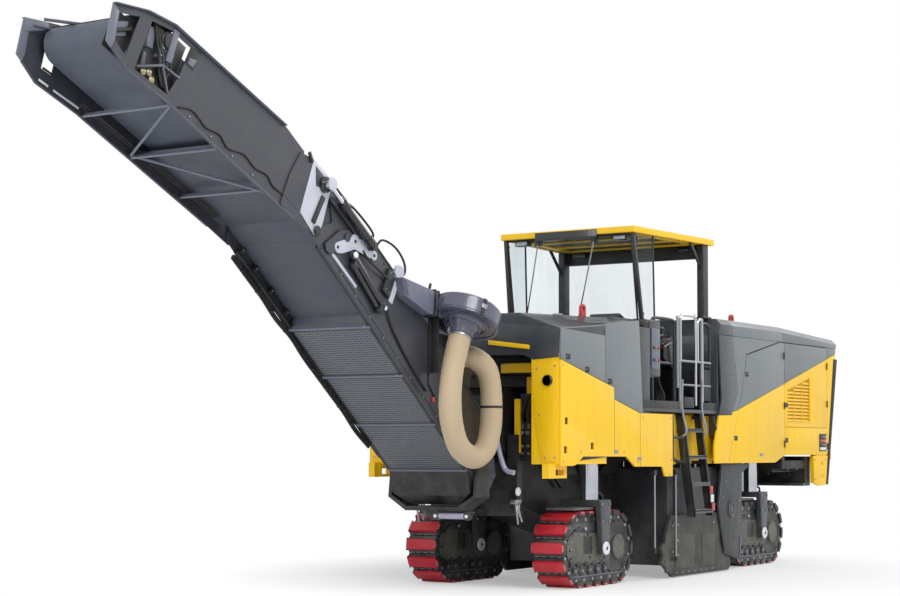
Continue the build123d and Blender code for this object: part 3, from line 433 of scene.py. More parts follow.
def relieve(nodes, shader, height, strength, depth):
    """Turns a height into the fine relief of a surface."""
    bump = nodes.add("Bump", Height=height, Strength=strength, Distance=depth)
    nodes.put(bump.outputs["Normal"], shader["Normal"])


def coated(name, colour, roughness, dust, wear, coat=0, metallic=0, grain=140, bump=0.08, worn=(45, 45, 46)):
    """A finish of the machine: paint, bare metal, rubber or plastic in use."""
    material, nodes, shader, got = surfaced(name, colour, worn, roughness, dust, wear, grain)
    relieve(nodes, shader, got["Height"], bump, 0.002)
    shader["Metallic"].default_value = metallic
    shader["Coat Weight"].default_value = coat
    return material


yellow = coated("machine yellow", (255, 203, 8), 0.4, 0.05, 0.1, coat=0.12)
grey = coated("hood grey", (118, 124, 127), 0.4, 0.2, 0.1, coat=0.15)
anthracite = coated("cowl anthracite", (55, 60, 66), 0.38, 0.3, 0.15, coat=0.2)
black = coated("black steel", (30, 31, 33), 0.42, 0.35, 0.3, worn=(80, 78, 74))
gloss = coated("glossy black", (20, 21, 24), 0.22, 0.12, 0.1, coat=0.5)
dark_plastic = coated("grained black plastic", (38, 39, 42), 0.55, 0.2, 0.1, grain=420, bump=0.25)
conveyor_grey = coated("conveyor paint", (54, 56, 64), 0.4, 0.18, 0.2, coat=0.12, worn=(110, 110, 112))
pan_grey = coated("conveyor pan", (72, 74, 84), 0.45, 0.25, 0.3, worn=(120, 120, 122))
link_grey = coated("linkage grey", (150, 154, 158), 0.38, 0.2, 0.3)
flange_grey = coated("pale flange", (108, 112, 124), 0.35, 0.15, 0.2)
chrome = coated("cylinder chrome", (205, 208, 212), 0.12, 0.12, 0, metallic=1, bump=0.02)
zinc = coated("bright steel", (160, 162, 165), 0.34, 0.2, 0.2, metallic=0.85, grain=80)
tool_steel = coated("ground cutting steel", (72, 68, 64), 0.6, 0.8, 0.8, metallic=0.6, worn=(150, 146, 140), bump=0.5)
rubber = coated("belt rubber", (78, 84, 96), 0.55, 0.25, 0, grain=90, bump=0.12)
black_rubber = coated("black rubber", (26, 26, 28), 0.7, 0.4, 0, grain=200, bump=0.2)
red_pad = coated("red track pad", (186, 24, 42), 0.5, 0.16, 0.35, grain=60, bump=0.3, worn=(90, 14, 24))
# pads for the rear tracks, much darker than the front ones
dark_rear_pad = coated("dark rear track pad", (52, 30, 34), 0.7, 0.5, 0.5, grain=60, bump=0.4, worn=(150, 20, 36))
red_paint = coated("signal red paint", (196, 26, 30), 0.34, 0.1, 0.2, coat=0.3)
skid_olive = coated("scuffed side plate", (44, 45, 41), 0.5, 0.35, 0.6, worn=(120, 115, 105), bump=0.3)
olive_disc = coated("drive casting", (92, 92, 84), 0.5, 0.5, 0.3, bump=0.3, grain=60)
duct_beige = coated("fabric duct", (194, 172, 140), 0.62, 0.15, 0, grain=260, bump=0.3)
seat_cover = coated("seat cover", (32, 32, 34), 0.6, 0.15, 0, grain=500, bump=0.4)
brass = coated("hose fittings", (170, 160, 130), 0.35, 0.3, 0.2, metallic=0.9)
# darker yellow that stands for the shade behind the louvre blades
painted_shade_yellow = coated("yellow with painted shade", (204, 148, 16), 0.6, 0.2, 0.1)
fan_blue = coated("fan casing", (84, 86, 104), 0.26, 0.15, 0.15, coat=0.5)
# white of lamps and reflectors, also used for painted glints and highlight lines
white_lamp_and_highlight = coated("white reflector and painted highlight", (232, 234, 236), 0.25, 0.1, 0, coat=0.6)
lamp_red = coated("red reflector", (190, 24, 26), 0.22, 0.1, 0, coat=0.6)
cast_grey = coated("engine casting", (84, 88, 92), 0.55, 0.4, 0.2, bump=0.3, grain=60)


def guard_sheet():
    """Punched sheet painted in the conveyor's colour, its dimples in rows and darkened with painted shade."""
    material, nodes, shader, coat = surfaced("punched guard sheet", (112, 116, 122), (70, 72, 76), 0.4, 0.25, 0.2,
        140)
    # the dimples' dark colour is painted shade
    holes = use_group(nodes, punched_tree, Colour=coat["Colour"], Hole_colour=display(34, 35, 38), Pitch=32,
        Hole=0.27)
    nodes.put(holes["Colour"], shader["Base Color"])
    relieve(nodes, shader, holes["Height"], 0.8, 0.004)
    return material


def clear_glass(name, tint, roughness):
    material, nodes, shader, got = surfaced(name, tint, tint, roughness, 0.05, 0, 8)
    relieve(nodes, shader, got["Height"], 0.02, 0.001)
    shader["Transmission Weight"].default_value = 1
    shader["IOR"].default_value = 1.12
    return material


punched_guard = guard_sheet()
glass = clear_glass("cab glass", (232, 238, 240), 0.02)


# ---- floor, light and camera
def floor_and_light():
    floor_mesh = bpy.data.meshes.new("studio_floor")
    disc = bmesh.new()
    bmesh.ops.create_circle(disc, cap_ends=True, segments=96, radius=60)
    disc.to_mesh(floor_mesh)
    disc.free()
    floor = stand("studio_floor", floor_mesh)
    floor.location.z = -0.002
    material, nodes, shader = start_material("pale floor")
    place = nodes.add("TexCoord").outputs["Object"]
    tone = nodes.span(nodes.noise(place, 0.4), 0.3, 0.7, 0.93, 0.96)
    nodes.put(nodes.add("CombineColor", Red=tone, Green=tone, Blue=tone).outputs["Color"], shader["Base Color"])
    shader["Roughness"].default_value = 0.9
    shader["Specular IOR Level"].default_value = 0
    away = nodes.tree.nodes.new("ShaderNodeVectorMath")
    away.operation = "DISTANCE"
    nodes.put(place, away.inputs[0])
    nodes.put((drum_x, 0, 0), away.inputs[1])
    fade = nodes.span(away.outputs["Value"], 2.6, 4.8, 0.35)
    seen = nodes.sum("MULTIPLY", nodes.add("LightPath").outputs["Is Camera Ray"], fade)
    plain = nodes.add("Emission", Color=(1, 1, 1, 1), Strength=1)
    nodes.choose(seen, nodes.tree.nodes["Principled BSDF"], plain, nodes.tree.nodes["Material Output"])
    floor_mesh.materials.append(material)

    world = bpy.data.worlds.new("studio")
    bpy.context.scene.world = world
    world.use_nodes = True
    nodes = Nodes(world.node_tree)
    world.node_tree.nodes.clear()
    ray = nodes.add("LightPath").outputs
    seen = nodes.sum("MAXIMUM", nodes.sum("MAXIMUM", ray["Is Camera Ray"], ray["Is Glossy Ray"]),
        ray["Is Transmission Ray"])
    soft = nodes.add("Background", Color=display(236, 242, 250), Strength=0.62)
    white = nodes.add("Background", Color=(1, 1, 1, 1), Strength=1)
    nodes.choose(seen, soft, white, world.node_tree.nodes.new("ShaderNodeOutputWorld"))

    for name, place, target, size, power in (("key", (9, 14, 15), (0, 0, 1.5), 9, 1900), ("front fill", (18, -2, 7),
            (0, 0, 2), 8, 600), ("rear rim", (-14, 6, 12), (-3, 0, 1.5), 7, 700)):
        lamp = bpy.data.lights.new(name, "AREA")
        lamp.energy, lamp.size = power, size
        lit = stand(name, lamp)
        lit.location = place
        lit.rotation_euler = (Vector(target) - Vector(place)).to_track_quat("-Z", "Y").to_euler()


def main_camera():
    lens = bpy.data.cameras.new("camera")
    lens.lens, lens.sensor_width = 73.23, 36
    lens.shift_x, lens.shift_y = -0.1, 0.0467
    lens.clip_end = 200
    camera = stand("camera", lens)
    camera.location = (17.244, 10.697, 1.503)
    camera.rotation_euler = (radians(93.364), 0, radians(120.745))
    bpy.context.scene.camera = camera


floor_and_light()
main_camera()
bpy.context.scene.view_settings.view_transform = "Standard"


def paint_nodes(finish, *names):
    """Gives carried-over CAD nodes their finish."""
    for name in names:
        for slot in cad_nodes[name].material_slots:
            slot.material = finish


# ---- side panels of the front body
SKIN = 0.025


def shrink(points, gap):
    """Draws an outline in by a gap, for the seams between panels."""
    turning = sum(a[0] * b[1] - b[0] * a[1] for a, b in zip(points, points[1:] + points[:1]))
    hand = 1 if turning > 0 else -1
    drawn = []
    for before, here, after in zip(points[-1:] + points[:-1], points, points[1:] + points[:1]):
        first = (Vector(here) - Vector(before)).normalized()
        second = (Vector(after) - Vector(here)).normalized()
        first, second = Vector((-first.y, first.x)) * hand, Vector((-second.y, second.x)) * hand
        move = (first + second) * gap / max(1 + first.dot(second), 0.3)
        drawn.append((here[0] + move.x, here[1] + move.y))
    return drawn


def skin_at(side):
    """Places a drawing on the back of the side panels."""
    return side_at(side_y - SKIN, side)


def skin_panel(piece, side, points, finish, gap=0.003, low=0, high=SKIN, edge=0.005, holes=()):
    """One side panel, drawn by stations and heights, with half a seam all round."""
    piece.plate(shrink(stations(points), gap), low, high, finish, edge, [stations(hole) for hole in holes],
        place=skin_at(side))


def latch(piece, side, x, z, proud=0):
    """A flush paddle latch in its black cup."""
    place = side_at(side_y + proud, side)
    piece.each(piece.block, ((at(x) - 0.045, z - 0.03, -0.004), (at(x) + 0.045, z + 0.03, 0.004), black, 0.003),
        ((at(x) - 0.032, z - 0.016, 0.004), (at(x) + 0.024, z + 0.016, 0.009), dark_plastic, 0.003), place=place)
    piece.rod((at(x) + 0.033, z, 0), (at(x) + 0.033, z, 0.009), 0.008, zinc, place=place)


def front_flanks():
    body = Piece("flank_skins", "body_yellow")
    yellow_low = [(3.4, 1.31), (3.4, 2.42), (2.57, 2.23), (2.24, 2.16), (2.24, 2.03), (1.64, 1.89), (0.83, 1.89),
        (0.83, 1.172), (1.03, 1.172), (1.09, 1.285), (1.76, 1.29), (1.97, 1.405), (2.94, 1.41), (3.13, 1.31)]
    grey_front = [(3.4, 2.42), (3.4, 2.745), (2.44, 2.715), (2.44, 2.202), (2.57, 2.23)]
    grey_rear = [(2.44, 2.202), (2.44, 2.845), (1.655, 2.925), (1.565, 1.873), (1.64, 1.89), (2.24, 2.03),
        (2.24, 2.16)]
    socket = [[(x - 0.035, z - 0.035), (x + 0.035, z - 0.035), (x + 0.035, z + 0.035), (x - 0.035, z + 0.035)] for x,
        z in ((3.28, 1.78), (3.3, 1.48), (2.73, 1.52))]
    for side in SIDES:
        skin_panel(body, side, yellow_low, yellow, holes=socket)
        skin_panel(body, side, grey_front, grey)
        skin_panel(body, side, grey_rear, grey)
        skin_panel(body, side, [(3.38, 1.34), (3.38, 2.7), (2.42, 2.7), (2.42, 2.8), (1.7, 2.86), (1.62, 1.92),
            (0.86, 1.86), (0.86, 1.2), (1.01, 1.2), (1.07, 1.31), (1.74, 1.32), (1.95, 1.43)], black, 0, -0.012,
            0.004, 0.001)
        for x, z in ((3.25, 2.45), (2.84, 2.33), (2.34, 2.22)):
            latch(body, side, x, z)
        for x, z, wide in ((1.66, 1.38, 0.05), (2.2, 1.46, 0.04)):
            body.block((at(x) - wide, z - 0.018, SKIN), (at(x) + wide, z + 0.018, SKIN + 0.003), zinc, 0.001,
                place=skin_at(side))
        # folded lower lip and the seam of the small door by the tank
        skin_panel(body, side, [(3.12, 1.315), (2.94, 1.41), (1.97, 1.405), (1.97, 1.425), (2.95, 1.43),
            (3.13, 1.335)], yellow, 0, SKIN, SKIN + 0.006, 0.002)
        for x0, z0, x1, z1 in ((2.24, 2.03, 2.24, 1.42), (1.64, 1.89, 1.64, 1.27)):
            skin_panel(body, side, [(x0 - 0.003, z0), (x0 + 0.003, z0), (x1 + 0.003, z1), (x1 - 0.003, z1)], black, 0,
                SKIN - 0.002, SKIN + 0.0006, 0)
        body.bolts([(at(x), z) for x, z in ((3.36, 1.36), (3.36, 2.36), (2.98, 1.46), (2.02, 1.46), (0.93, 1.2),
            (1.7, 1.34), (0.88, 1.36), (0.88, 1.84), (1.58, 1.84), (1.7, 1.94))], zinc, 0.009, 0.006, SKIN,
            place=skin_at(side))
    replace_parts(body.done(), "flank_panels")


def cowl():
    """The anthracite cap over the tank, its top falling to the front and its sides sloped off."""
    body = Piece("cowl_shell", "anthracite")
    low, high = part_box("front_cowl")
    half, inner = high.y, 0.7
    shell = bmesh.new()
    rear, front = low.x, high.x
    corners = {}
    for name, x, y, z in (("rt", rear, 0.86, 2.96), ("re", rear, half, 2.9), ("rb", rear, half, low.z),
            ("ft", front, inner, 2.92), ("fe", front, half, 2.74), ("fb", front, half, low.z)):
        for sign in SIDES:
            corners[name, sign] = shell.verts.new((x, sign * y, z))
    for names in (("rt", "re", "rb"), ("ft", "fe", "fb")):
        shell.faces.new([corners[n, 1] for n in names] + [corners[n, -1] for n in reversed(names)])
    shell.faces.new([corners[k] for k in (("rt", 1), ("ft", 1), ("ft", -1), ("rt", -1))])
    shell.faces.new([corners[k] for k in (("rb", 1), ("fb", 1), ("fb", -1), ("rb", -1))])
    for sign in SIDES:
        shell.faces.new([corners[n, sign] for n in ("rt", "re", "fe", "ft")])
        shell.faces.new([corners[n, sign] for n in ("re", "rb", "fb", "fe")])
    for key, vert in corners.items():
        if key[0] in ("rb", "fb"):
            vert.co.y = key[1] * (half - SKIN - 0.002)
    bmesh.ops.recalc_face_normals(shell, faces=shell.faces)
    soften(shell, 0.014, 3)
    body.take(shell, anthracite)
    # service hatches with their hinges and the filler cap on the flat top
    for x, y, long, wide in ((2.05, 0, 0.42, 0.56), (2.85, 0.3, 0.6, 0.38), (2.85, -0.3, 0.6, 0.38)):
        tilt = tilted((at(x), y, 2.96 - 0.0237 * (x - 1.71)), 0.0237)
        body.block((-long / 2, -wide / 2, 0), (long / 2, wide / 2, 0.012), anthracite, 0.008, 3, place=tilt)
        body.rod((long / 2 - 0.05, 0, 0.012), (long / 2 - 0.05, 0, 0.02), 0.02, zinc, place=tilt)
        for end in (-0.12, 0.12):
            body.block((-long / 2 - 0.012, end - 0.03, 0), (-long / 2 + 0.02, end + 0.03, 0.018), black, 0.003,
                place=tilt)
    body.turned([(0, 0.045), (0.05, 0.045), (0.062, 0.035), (0.062, 0), (0, 0)], (at(2.2), 0.48, 2.948), zinc)
    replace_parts(body.done(), "front_cowl")


def front_face():
    """The open front between the towers: lip, hydraulic block, hoses and the tower's trim."""
    body = Piece("front_recess_fittings", "black_steel")
    face = front_at(front_x)
    for side in SIDES:
        # cap's folded edge, yellow lip over the dark slot, the tower's tapered inner flange
        body.each(body.plate, ([(side * y, z) for y, z in ((0.45, 2.83), (1.19, 2.735), (1.19, 2.44), (0.88, 2.42),
            (0.45, 2.62))], -0.006, 0.006, anthracite, 0.004),
            ([(side * y, z) for y, z in ((0.34, 2.64), (0.84, 2.575), (0.84, 2.53), (0.34, 2.59))], -0.03, 0.03,
            yellow, 0.008), ([(side * y, z) for y, z in ((0.34, 2.4), (0.86, 2.4), (0.86, 2.3), (0.34, 2.3))], -0.28,
            -0.23, yellow, 0.006), ([(side * y, z) for y, z in ((0.86, 2.36), (1.185, 2.4), (1.185, 1.345),
            (0.98, 1.345), (0.9, 1.82))], 0, 0.007, yellow), place=face)
        body.bolts([(side * y, z) for y, z in ((0.93, 2.33), (1.15, 2.35), (1.15, 1.4), (1.03, 1.4), (0.96, 1.84))],
            zinc, 0.01, 0.007, 0.007, place=face)
        # front lamps behind black rings
        body.turned([(0, 0.012), (0.03, 0.012), (0.044, 0.004), (0.044, -0.02), (0, -0.02)],
            (front_x + 0.012, side * 1.06, 2.2), white_lamp_and_highlight, direction=(1, 0, 0))
        body.turned([(0.047, 0.022), (0.058, 0.018), (0.06, 0), (0.047, 0), (0.047, 0.022)],
            (front_x + 0.006, side * 1.06, 2.2), gloss, direction=(1, 0, 0))
    deep = front_x - 0.26
    # a yellow post, the valve block and its hoses on both sides
    for side in SIDES:
        body.each(body.block, ((deep - 0.36, side * 0.52, 1.36), (deep - 0.05, side * 0.84, 1.78), black, 0.015),
            ((deep - 0.3, side * 0.5, 1.8), (deep - 0.1, side * 0.64, 2.08), black, 0.012),
            ((deep - 0.03, side * 0.49, 1.45), (deep, side * 0.56, 2.02), yellow), ((deep - 0.2, side * 0.57, 2),
            (deep - 0.12, side * 0.69, 2.26), yellow, 0.01), ((deep - 0.44, side * 0.7, 1.82),
            (deep - 0.3, side * 0.85, 2.28), cast_grey, 0.02))
        for k in range(4):
            y = side * (0.565 + 0.075 * k)
            body.each(body.rod, ((deep - 0.05, y, 1.66), (deep - 0.015, y, 1.66), 0.026, zinc, 6, 0.003),
                ((deep - 0.05, y, 1.52), (deep - 0.02, y, 1.52), 0.02, brass, 6, 0.003),
                ((deep - 0.05, y, 1.44), (deep - 0.03, y, 1.44), 0.016, zinc, 20, 0.003))
            body.tube([(deep - 0.06, y, 1.74), (deep - 0.03, y, 1.86 + 0.02 * k), (deep - 0.1, y + side * 0.03,
                2.02 + 0.03 * k), (deep - 0.28, side * (0.66 + 0.03 * k), 2.2), (deep - 0.5, side * 0.72, 2.3)],
                0.017, black_rubber)
            body.rod((deep - 0.06, y, 1.7), (deep - 0.06, y, 1.78), 0.022, zinc, 6, 0.003)
        for k in range(3):
            body.tube([(deep - 0.32, side * 0.56, 1.4 + 0.09 * k), (deep - 0.46, side * 0.62, 1.34 + 0.08 * k),
                (deep - 0.7, side * 0.7, 1.42 + 0.05 * k), (deep - 0.9, side * 0.74, 1.66)], 0.02, black_rubber)
        body.each(body.rod, ((deep - 0.02, side * 0.745, 1.9), (deep - 0.02, side * 0.745, 2.24), 0.014, zinc),
            ((deep - 0.16, side * 0.745, 1.98), (deep - 0.02, side * 0.745, 1.98), 0.014, zinc))
    body.block((front_x - 0.6, -0.86, 2.28), (front_x - 0.28, 0.86, 2.4), black, 0.01)
    body.done()


def seam_line(piece, side, points, wide=0.004):
    """A dark panel joint along a line on the side panels."""
    for (x0, z0), (x1, z1) in zip(points, points[1:]):
        along = Vector((x1 - x0, z1 - z0)).normalized()
        off = Vector((-along.y, along.x)) * wide / 2
        skin_panel(piece, side, [(x0 + off.x, z0 + off.y), (x1 + off.x, z1 + off.y), (x1 - off.x, z1 - off.y),
            (x0 - off.x, z0 - off.y)], black, 0, SKIN - 0.002, SKIN + 0.0006, 0)


# ---- engine hood
def cheeks():
    body = Piece("hood_cheek_skins", "body_yellow")
    dark = [(-0.43, 2.877), (-0.5, 2.1), (-0.425, 1.895), (-0.8, 1.905), (-0.8, 1.94), (-0.97, 2.2), (-0.82, 2.877)]
    pale = [(-0.82, 2.877), (-0.97, 2.2), (-0.8, 1.94), (-0.97, 1.97), (-0.982, 1.97), (-1.091, 2.21),
        (-1.232, 2.668), (-2.265, 2.877)]
    bright = [(-0.425, 1.895), (-0.29, 1.53), (-0.29, 1.31), (-0.681, 1.31), (-0.982, 1.97), (-0.97, 1.97),
        (-0.8, 1.94), (-0.8, 1.905)]
    for side in SIDES:
        for points, finish in ((dark, anthracite), (pale, grey), (bright, yellow)):
            skin_panel(body, side, points, finish, 0.0025)
        skin_panel(body, side, [(-0.5, 2.8), (-0.56, 2.1), (-0.48, 1.9), (-0.36, 1.54), (-0.36, 1.36), (-0.66, 1.36),
            (-1.06, 2.21), (-1.21, 2.69), (-1.9, 2.83)], black, 0, -0.01, 0.003, 0.001)
        seam_line(body, side, [(-0.46, 2.4), (-0.92, 2.4)])
        # bright rods that lift the side plate, in front of the cheek's foot
        for x in (-0.12, 0.26):
            body.rod((at(x), side * 1.03, 0.98), (at(x), side * 1.03, 1.55), 0.019, zinc)
    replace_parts(body.done(), "hood_cheeks")


def hinge_knuckles(piece, side, x, heights, finish):
    for z in heights:
        piece.rod((at(x), side * (side_y + 0.004), z - 0.045), (at(x), side * (side_y + 0.004), z + 0.045), 0.011,
            finish, 20, 0.002)


def service_door(name, side):
    body = Piece("door_skin_" + name, "body_yellow", "service_door_" + name)
    pale = [(-0.991, 1.975), (-1.1, 2.21), (-1.24, 2.66), (-2.28, 2.87), (-2.421, 2.87), (-2.421, 2.335),
        (-2.28, 2.3)]
    bright = [(-0.991, 1.975), (-2.28, 2.3), (-2.421, 2.335), (-2.421, 1.405), (-2.12, 1.31), (-0.69, 1.31)]
    skin_panel(body, side, pale, grey, 0.0015)
    skin_panel(body, side, bright, yellow, 0.0015)
    skin_panel(body, side, [(-1.02, 1.97), (-1.13, 2.21), (-1.27, 2.63), (-2.28, 2.83), (-2.39, 2.83), (-2.39, 1.43),
        (-2.11, 1.34), (-0.73, 1.34)], black, 0, -0.002, 0.01, 0.001)
    latch(body, side, -0.9, 1.62)
    latch(body, side, -1.24, 2.42)
    body.block((at(-1.72), 1.395, SKIN), (at(-1.62), 1.43, SKIN + 0.003), zinc, 0.001, place=skin_at(side))
    # stiffening ribs and foam blocks on the inside
    for x in (-1.15, -1.62, -2.08):
        body.block((at(x) - 0.03, 1.42, -0.035), (at(x) + 0.03, 2.28, 0), black, 0.006, place=skin_at(side))
    body.block((at(-2.3), 1.44, -0.02), (at(-1), 1.5, 0), black, 0.006, place=skin_at(side))
    hinge_knuckles(body, side, -2.41, (1.55, 2.05, 2.7), black)
    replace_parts(body.done(), "service_door_" + name)


def louvre_door(name, side):
    body = Piece("louvre_skin_" + name, "body_yellow", "louvre_door_" + name)
    louvre = [(-2.5, 1.83), (-3.3, 1.83), (-3.3, 2.46), (-2.5, 2.27)]
    pale = [(-2.429, 2.338), (-2.429, 2.87), (-3.9, 2.87), (-3.9, 2.716)]
    bright = [(-2.429, 2.338), (-3.9, 2.716), (-3.9, 1.77), (-2.429, 1.77)]
    skirt = [(-2.429, 1.77), (-3.9, 1.77), (-3.9, 1.405), (-2.429, 1.405)]
    place = skin_at(side)
    skin_panel(body, side, pale, grey, 0.0015)
    skin_panel(body, side, bright, yellow, 0.0015, holes=[louvre])
    skin_panel(body, side, skirt, yellow, 0.002)
    skin_panel(body, side, [(-2.46, 1.43), (-2.46, 2.84), (-3.87, 2.84), (-3.87, 1.43)], black, 0, -0.004, 0.004,
        0.001)
    # a darker yellow plate behind the blades paints the shade between them
    skin_panel(body, side, louvre, painted_shade_yellow, 0, 0.004, 0.006, 0)
    # pressed louvres in three banks, with a raised frame
    skin_panel(body, side, louvre, yellow, 0, 0.006, SKIN + 0.004, 0.003, [shrink(louvre, 0.018)])
    for x0, x1 in ((-2.53, -2.75), (-2.78, -3.02), (-3.05, -3.27)):
        top = 2.27 + (-2.5 - x1) * 0.2375 - 0.04
        body.block((at(x0) + 0.015, 1.84, 0.002), (at(x0) + 0.03, top + 0.02, 0.02), yellow, 0.003, place=place)
        for row in range(int((top - 1.85) / 0.045)):
            z = 1.865 + row * 0.045
            blade = place @ tilted(((at(x0) + at(x1)) / 2, z, 0.014), -0.6, "X")
            body.block((-(x0 - x1) / 2 + 0.004, -0.017, -0.002), ((x0 - x1) / 2 - 0.004, 0.017, 0.002), yellow,
                0.0015, place=blade)
    latch(body, side, -2.485, 2.06)
    latch(body, side, -2.485, 1.6)
    for z in (1.48, 1.7):
        body.bolts([(at(-2.46), z), (at(-3.86), z)], zinc, 0.008, 0.005, SKIN, place=place)
    hinge_knuckles(body, side, -3.888, (1.52, 2.1, 2.62), black)
    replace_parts(body.done(), "louvre_door_" + name)


def slope_x(z):
    return -3.86 - 0.4 * (z - 1) / 2


def hood_tail():
    body = Piece("tail_shell", "body_yellow")
    low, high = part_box("hood_tail")
    top = high.z
    pale = [(-3.908, 2.722), (-3.908, top), (slope_x(top), top), (slope_x(2.8), 2.8)]
    bright = [(-3.908, 2.722), (slope_x(2.8), 2.8), (-3.86, 1), (-3.62, 0.985), (-3.42, 1.03), (-3.4, 1.395),
        (-3.908, 1.395)]
    thick = 0.06
    eyes = [stations(ring((-3.7, 1.11), 0.025, 24)), stations(ring((-3.7, 1.285), 0.035, 16, 0.022))]
    for side in SIDES:
        place = side_at(side_y - thick, side)
        body.each(body.plate, (stations(shrink(pale, 0.0015)), 0, thick, grey, 0.008),
            (stations(shrink(bright, 0.0015)), 0, thick, yellow, 0.008, eyes),
            (stations([(-3.94, 2.7), (-4.16, 2.7), (-3.9, 1.45), (-3.93, 1.42)]), 0.004, 0.03, black), place=place)
        # lamp cluster in the corner: white, dark and red bars
        for k, finish in enumerate((white_lamp_and_highlight, gloss, lamp_red, gloss)):
            z = 1.47 + 0.052 * k
            body.block((at(-3.83), z, thick), (at(-3.62), z + 0.038, thick + 0.012), finish, 0.005, place=place)
        body.block((at(-3.85), 1.455, thick - 0.004), (at(-3.6), 1.69, thick + 0.005), black, place=place)
        body.bolts([(at(-3.46), 1.08), (at(-3.46), 1.34), (at(-3.84), 1.34)], zinc, 0.01, 0.007, thick, place=place)
    # the sloping rear face with the cooler's grille, and the bumper beam
    lean = atan2(0.4, 2)
    rear = tilted((at(slope_x(1.4)), 0, 1.4), -lean)
    half, rise = side_y - thick - 0.002, (top - 1.4) / cos(lean)
    body.each(body.block, ((0, -half, 0), (0.04, half, 0.26), yellow, 0.006),
        ((0, -half, rise - 0.2), (0.04, half, rise), grey, 0.006), place=rear)
    for side in SIDES:
        body.block((0, side * (half - 0.16), 0.26), (0.04, side * half, rise - 0.2), yellow, 0.006, place=rear)
        for z, finish in ((0.36, lamp_red), (0.5, white_lamp_and_highlight), (0.64, lamp_red)):
            body.turned([(0, 0.014), (0.04, 0.012), (0.05, 0.004), (0.052, 0), (0, 0)],
                rear @ Vector((0, side * (half - 0.08), z)), finish, direction=rear.to_3x3() @ Vector((-1, 0, 0)))
    body.block((0.03, -half, 0.2), (0.045, half, rise - 0.1), black, 0.002, place=rear)
    for k in range(20):
        z = 0.29 + (rise - 0.52) * k / 19
        blade = rear @ tilted((0.016, 0, z), 0.7)
        body.block((-0.018, -half + 0.16, -0.003), (0.018, half - 0.16, 0.003), black, 0.002, place=blade)
    for y in (-0.5, 0, 0.5):
        body.block((0, y - 0.02, 0.26), (0.03, y + 0.02, rise - 0.2), black, place=rear)
    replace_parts(body.done(), "hood_tail")

    under = Piece("underrun_beam", "black_steel")
    under.block((at(-3.42), -1.12, 1.22), (at(-2.55), 1.12, 1.335), black, 0.012)
    for x in (-3.3, -3, -2.7):
        under.block((at(x) - 0.02, -1.14, 1.2), (at(x) + 0.02, 1.14, 1.225), black)
    under.each(under.block, ((at(-3.48), -1.13, 0.99), (at(-3.3), 1.13, 1.385), black, 0.012),
        ((at(-3.3), -1.13, 0.99), (at(-3.22), 1.13, 1.03), anthracite))
    under.bolts([(y, 1.15) for y in (-0.9, -0.6, -0.3, 0, 0.3, 0.6, 0.9)], zinc, 0.016, place=front_at(at(-3.3)))
    # fillers over the rear legs and the dark seal down the rear edge
    for side in SIDES:
        under.block((at(-4.06), side * 1.13, 1.34), (at(-3.5), side * (side_y - 0.012), 1.43), yellow)
        under.plate([(at(slope_x(z)) - shift, z) for z, shift in ((2.73, -0.07), (1, -0.03), (1, 0.05),
            (2.73, 0.07))], 0, 0.063, black_rubber, 0.006, place=side_at(side_y - 0.06, side))
    under.done()


def hood_lid():
    """The long lid: bevelled sides, a dark front hatch, an air intake and the exhaust."""
    body = Piece("hood_lid", "body_grey")
    bottom, top, tail_z = hood_low.z, hood_high.z, 3
    half, edge = hood_high.y, 0.07
    for x0, x1, finish in ((-0.43, -0.818, anthracite), (-0.822, -2.369, grey), (-2.373, -4.26, grey)):
        shell = bmesh.new()
        rings = []
        for x in (x0, x1):
            z = top if x > -2.372 else top + (tail_z - top) * (-2.372 - x) / (4.26 - 2.372)
            foot = x
            if x == -0.43:
                x = -0.49
            if x == -4.26:
                foot = slope_x(bottom)
            rings.append([shell.verts.new(p) for p in ((at(foot), -half, bottom), (at(x), -half, z - edge),
                (at(x), -half + edge, z), (at(x), half - edge, z), (at(x), half, z - edge),
                (at(foot), half, bottom))])
        for rim in rings:
            shell.faces.new(rim)
        for k in range(6):
            shell.faces.new((rings[0][k], rings[0][(k + 1) % 6], rings[1][(k + 1) % 6], rings[1][k]))
        bmesh.ops.recalc_face_normals(shell, faces=shell.faces)
        soften(shell, 0.006, 2)
        body.take(shell, finish)
    for x, y, long, wide in ((-1.35, 0.55, 0.7, 0.55), (-1.35, -0.55, 0.7, 0.55), (-3.2, 0, 1.1, 1.5)):
        z = top if x > -2.37 else top - 0.033
        tilt = tilted((at(x), y, z), 0 if x > -2.37 else -0.04)
        body.block((-long / 2, -wide / 2, -0.004), (long / 2, wide / 2, 0.01), grey, 0.006, place=tilt)
        rows = 12 if x < -2.37 else 7
        for k in range(rows):
            step = -long / 2 + 0.08 + (long - 0.16) * k / (rows - 1)
            blade = tilt @ tilted((step, 0, 0.016), 0.5)
            body.block((-0.022, -wide / 2 + 0.05, -0.003), (0.022, wide / 2 - 0.05, 0.003), black, 0.002, place=blade)
    body.turned([(0, 0.02), (0.055, 0.02), (0.055, 0.16), (0.065, 0.16), (0.065, 0), (0.1, -0.002), (0, -0.004)],
        (at(-2.05), -0.35, top), black)
    for side in SIDES:
        body.block((at(-0.62), side * 0.3 - 0.06, top), (at(-0.62) + 0.09, side * 0.3 + 0.06, top + 0.012), black)
    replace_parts(body.done(), "hood_top")


front_flanks()
cowl()
front_face()
cheeks()
for side_name, side_sign in LEFT_RIGHT:
    service_door(side_name, side_sign)
    louvre_door(side_name, side_sign)
hood_tail()
hood_lid()


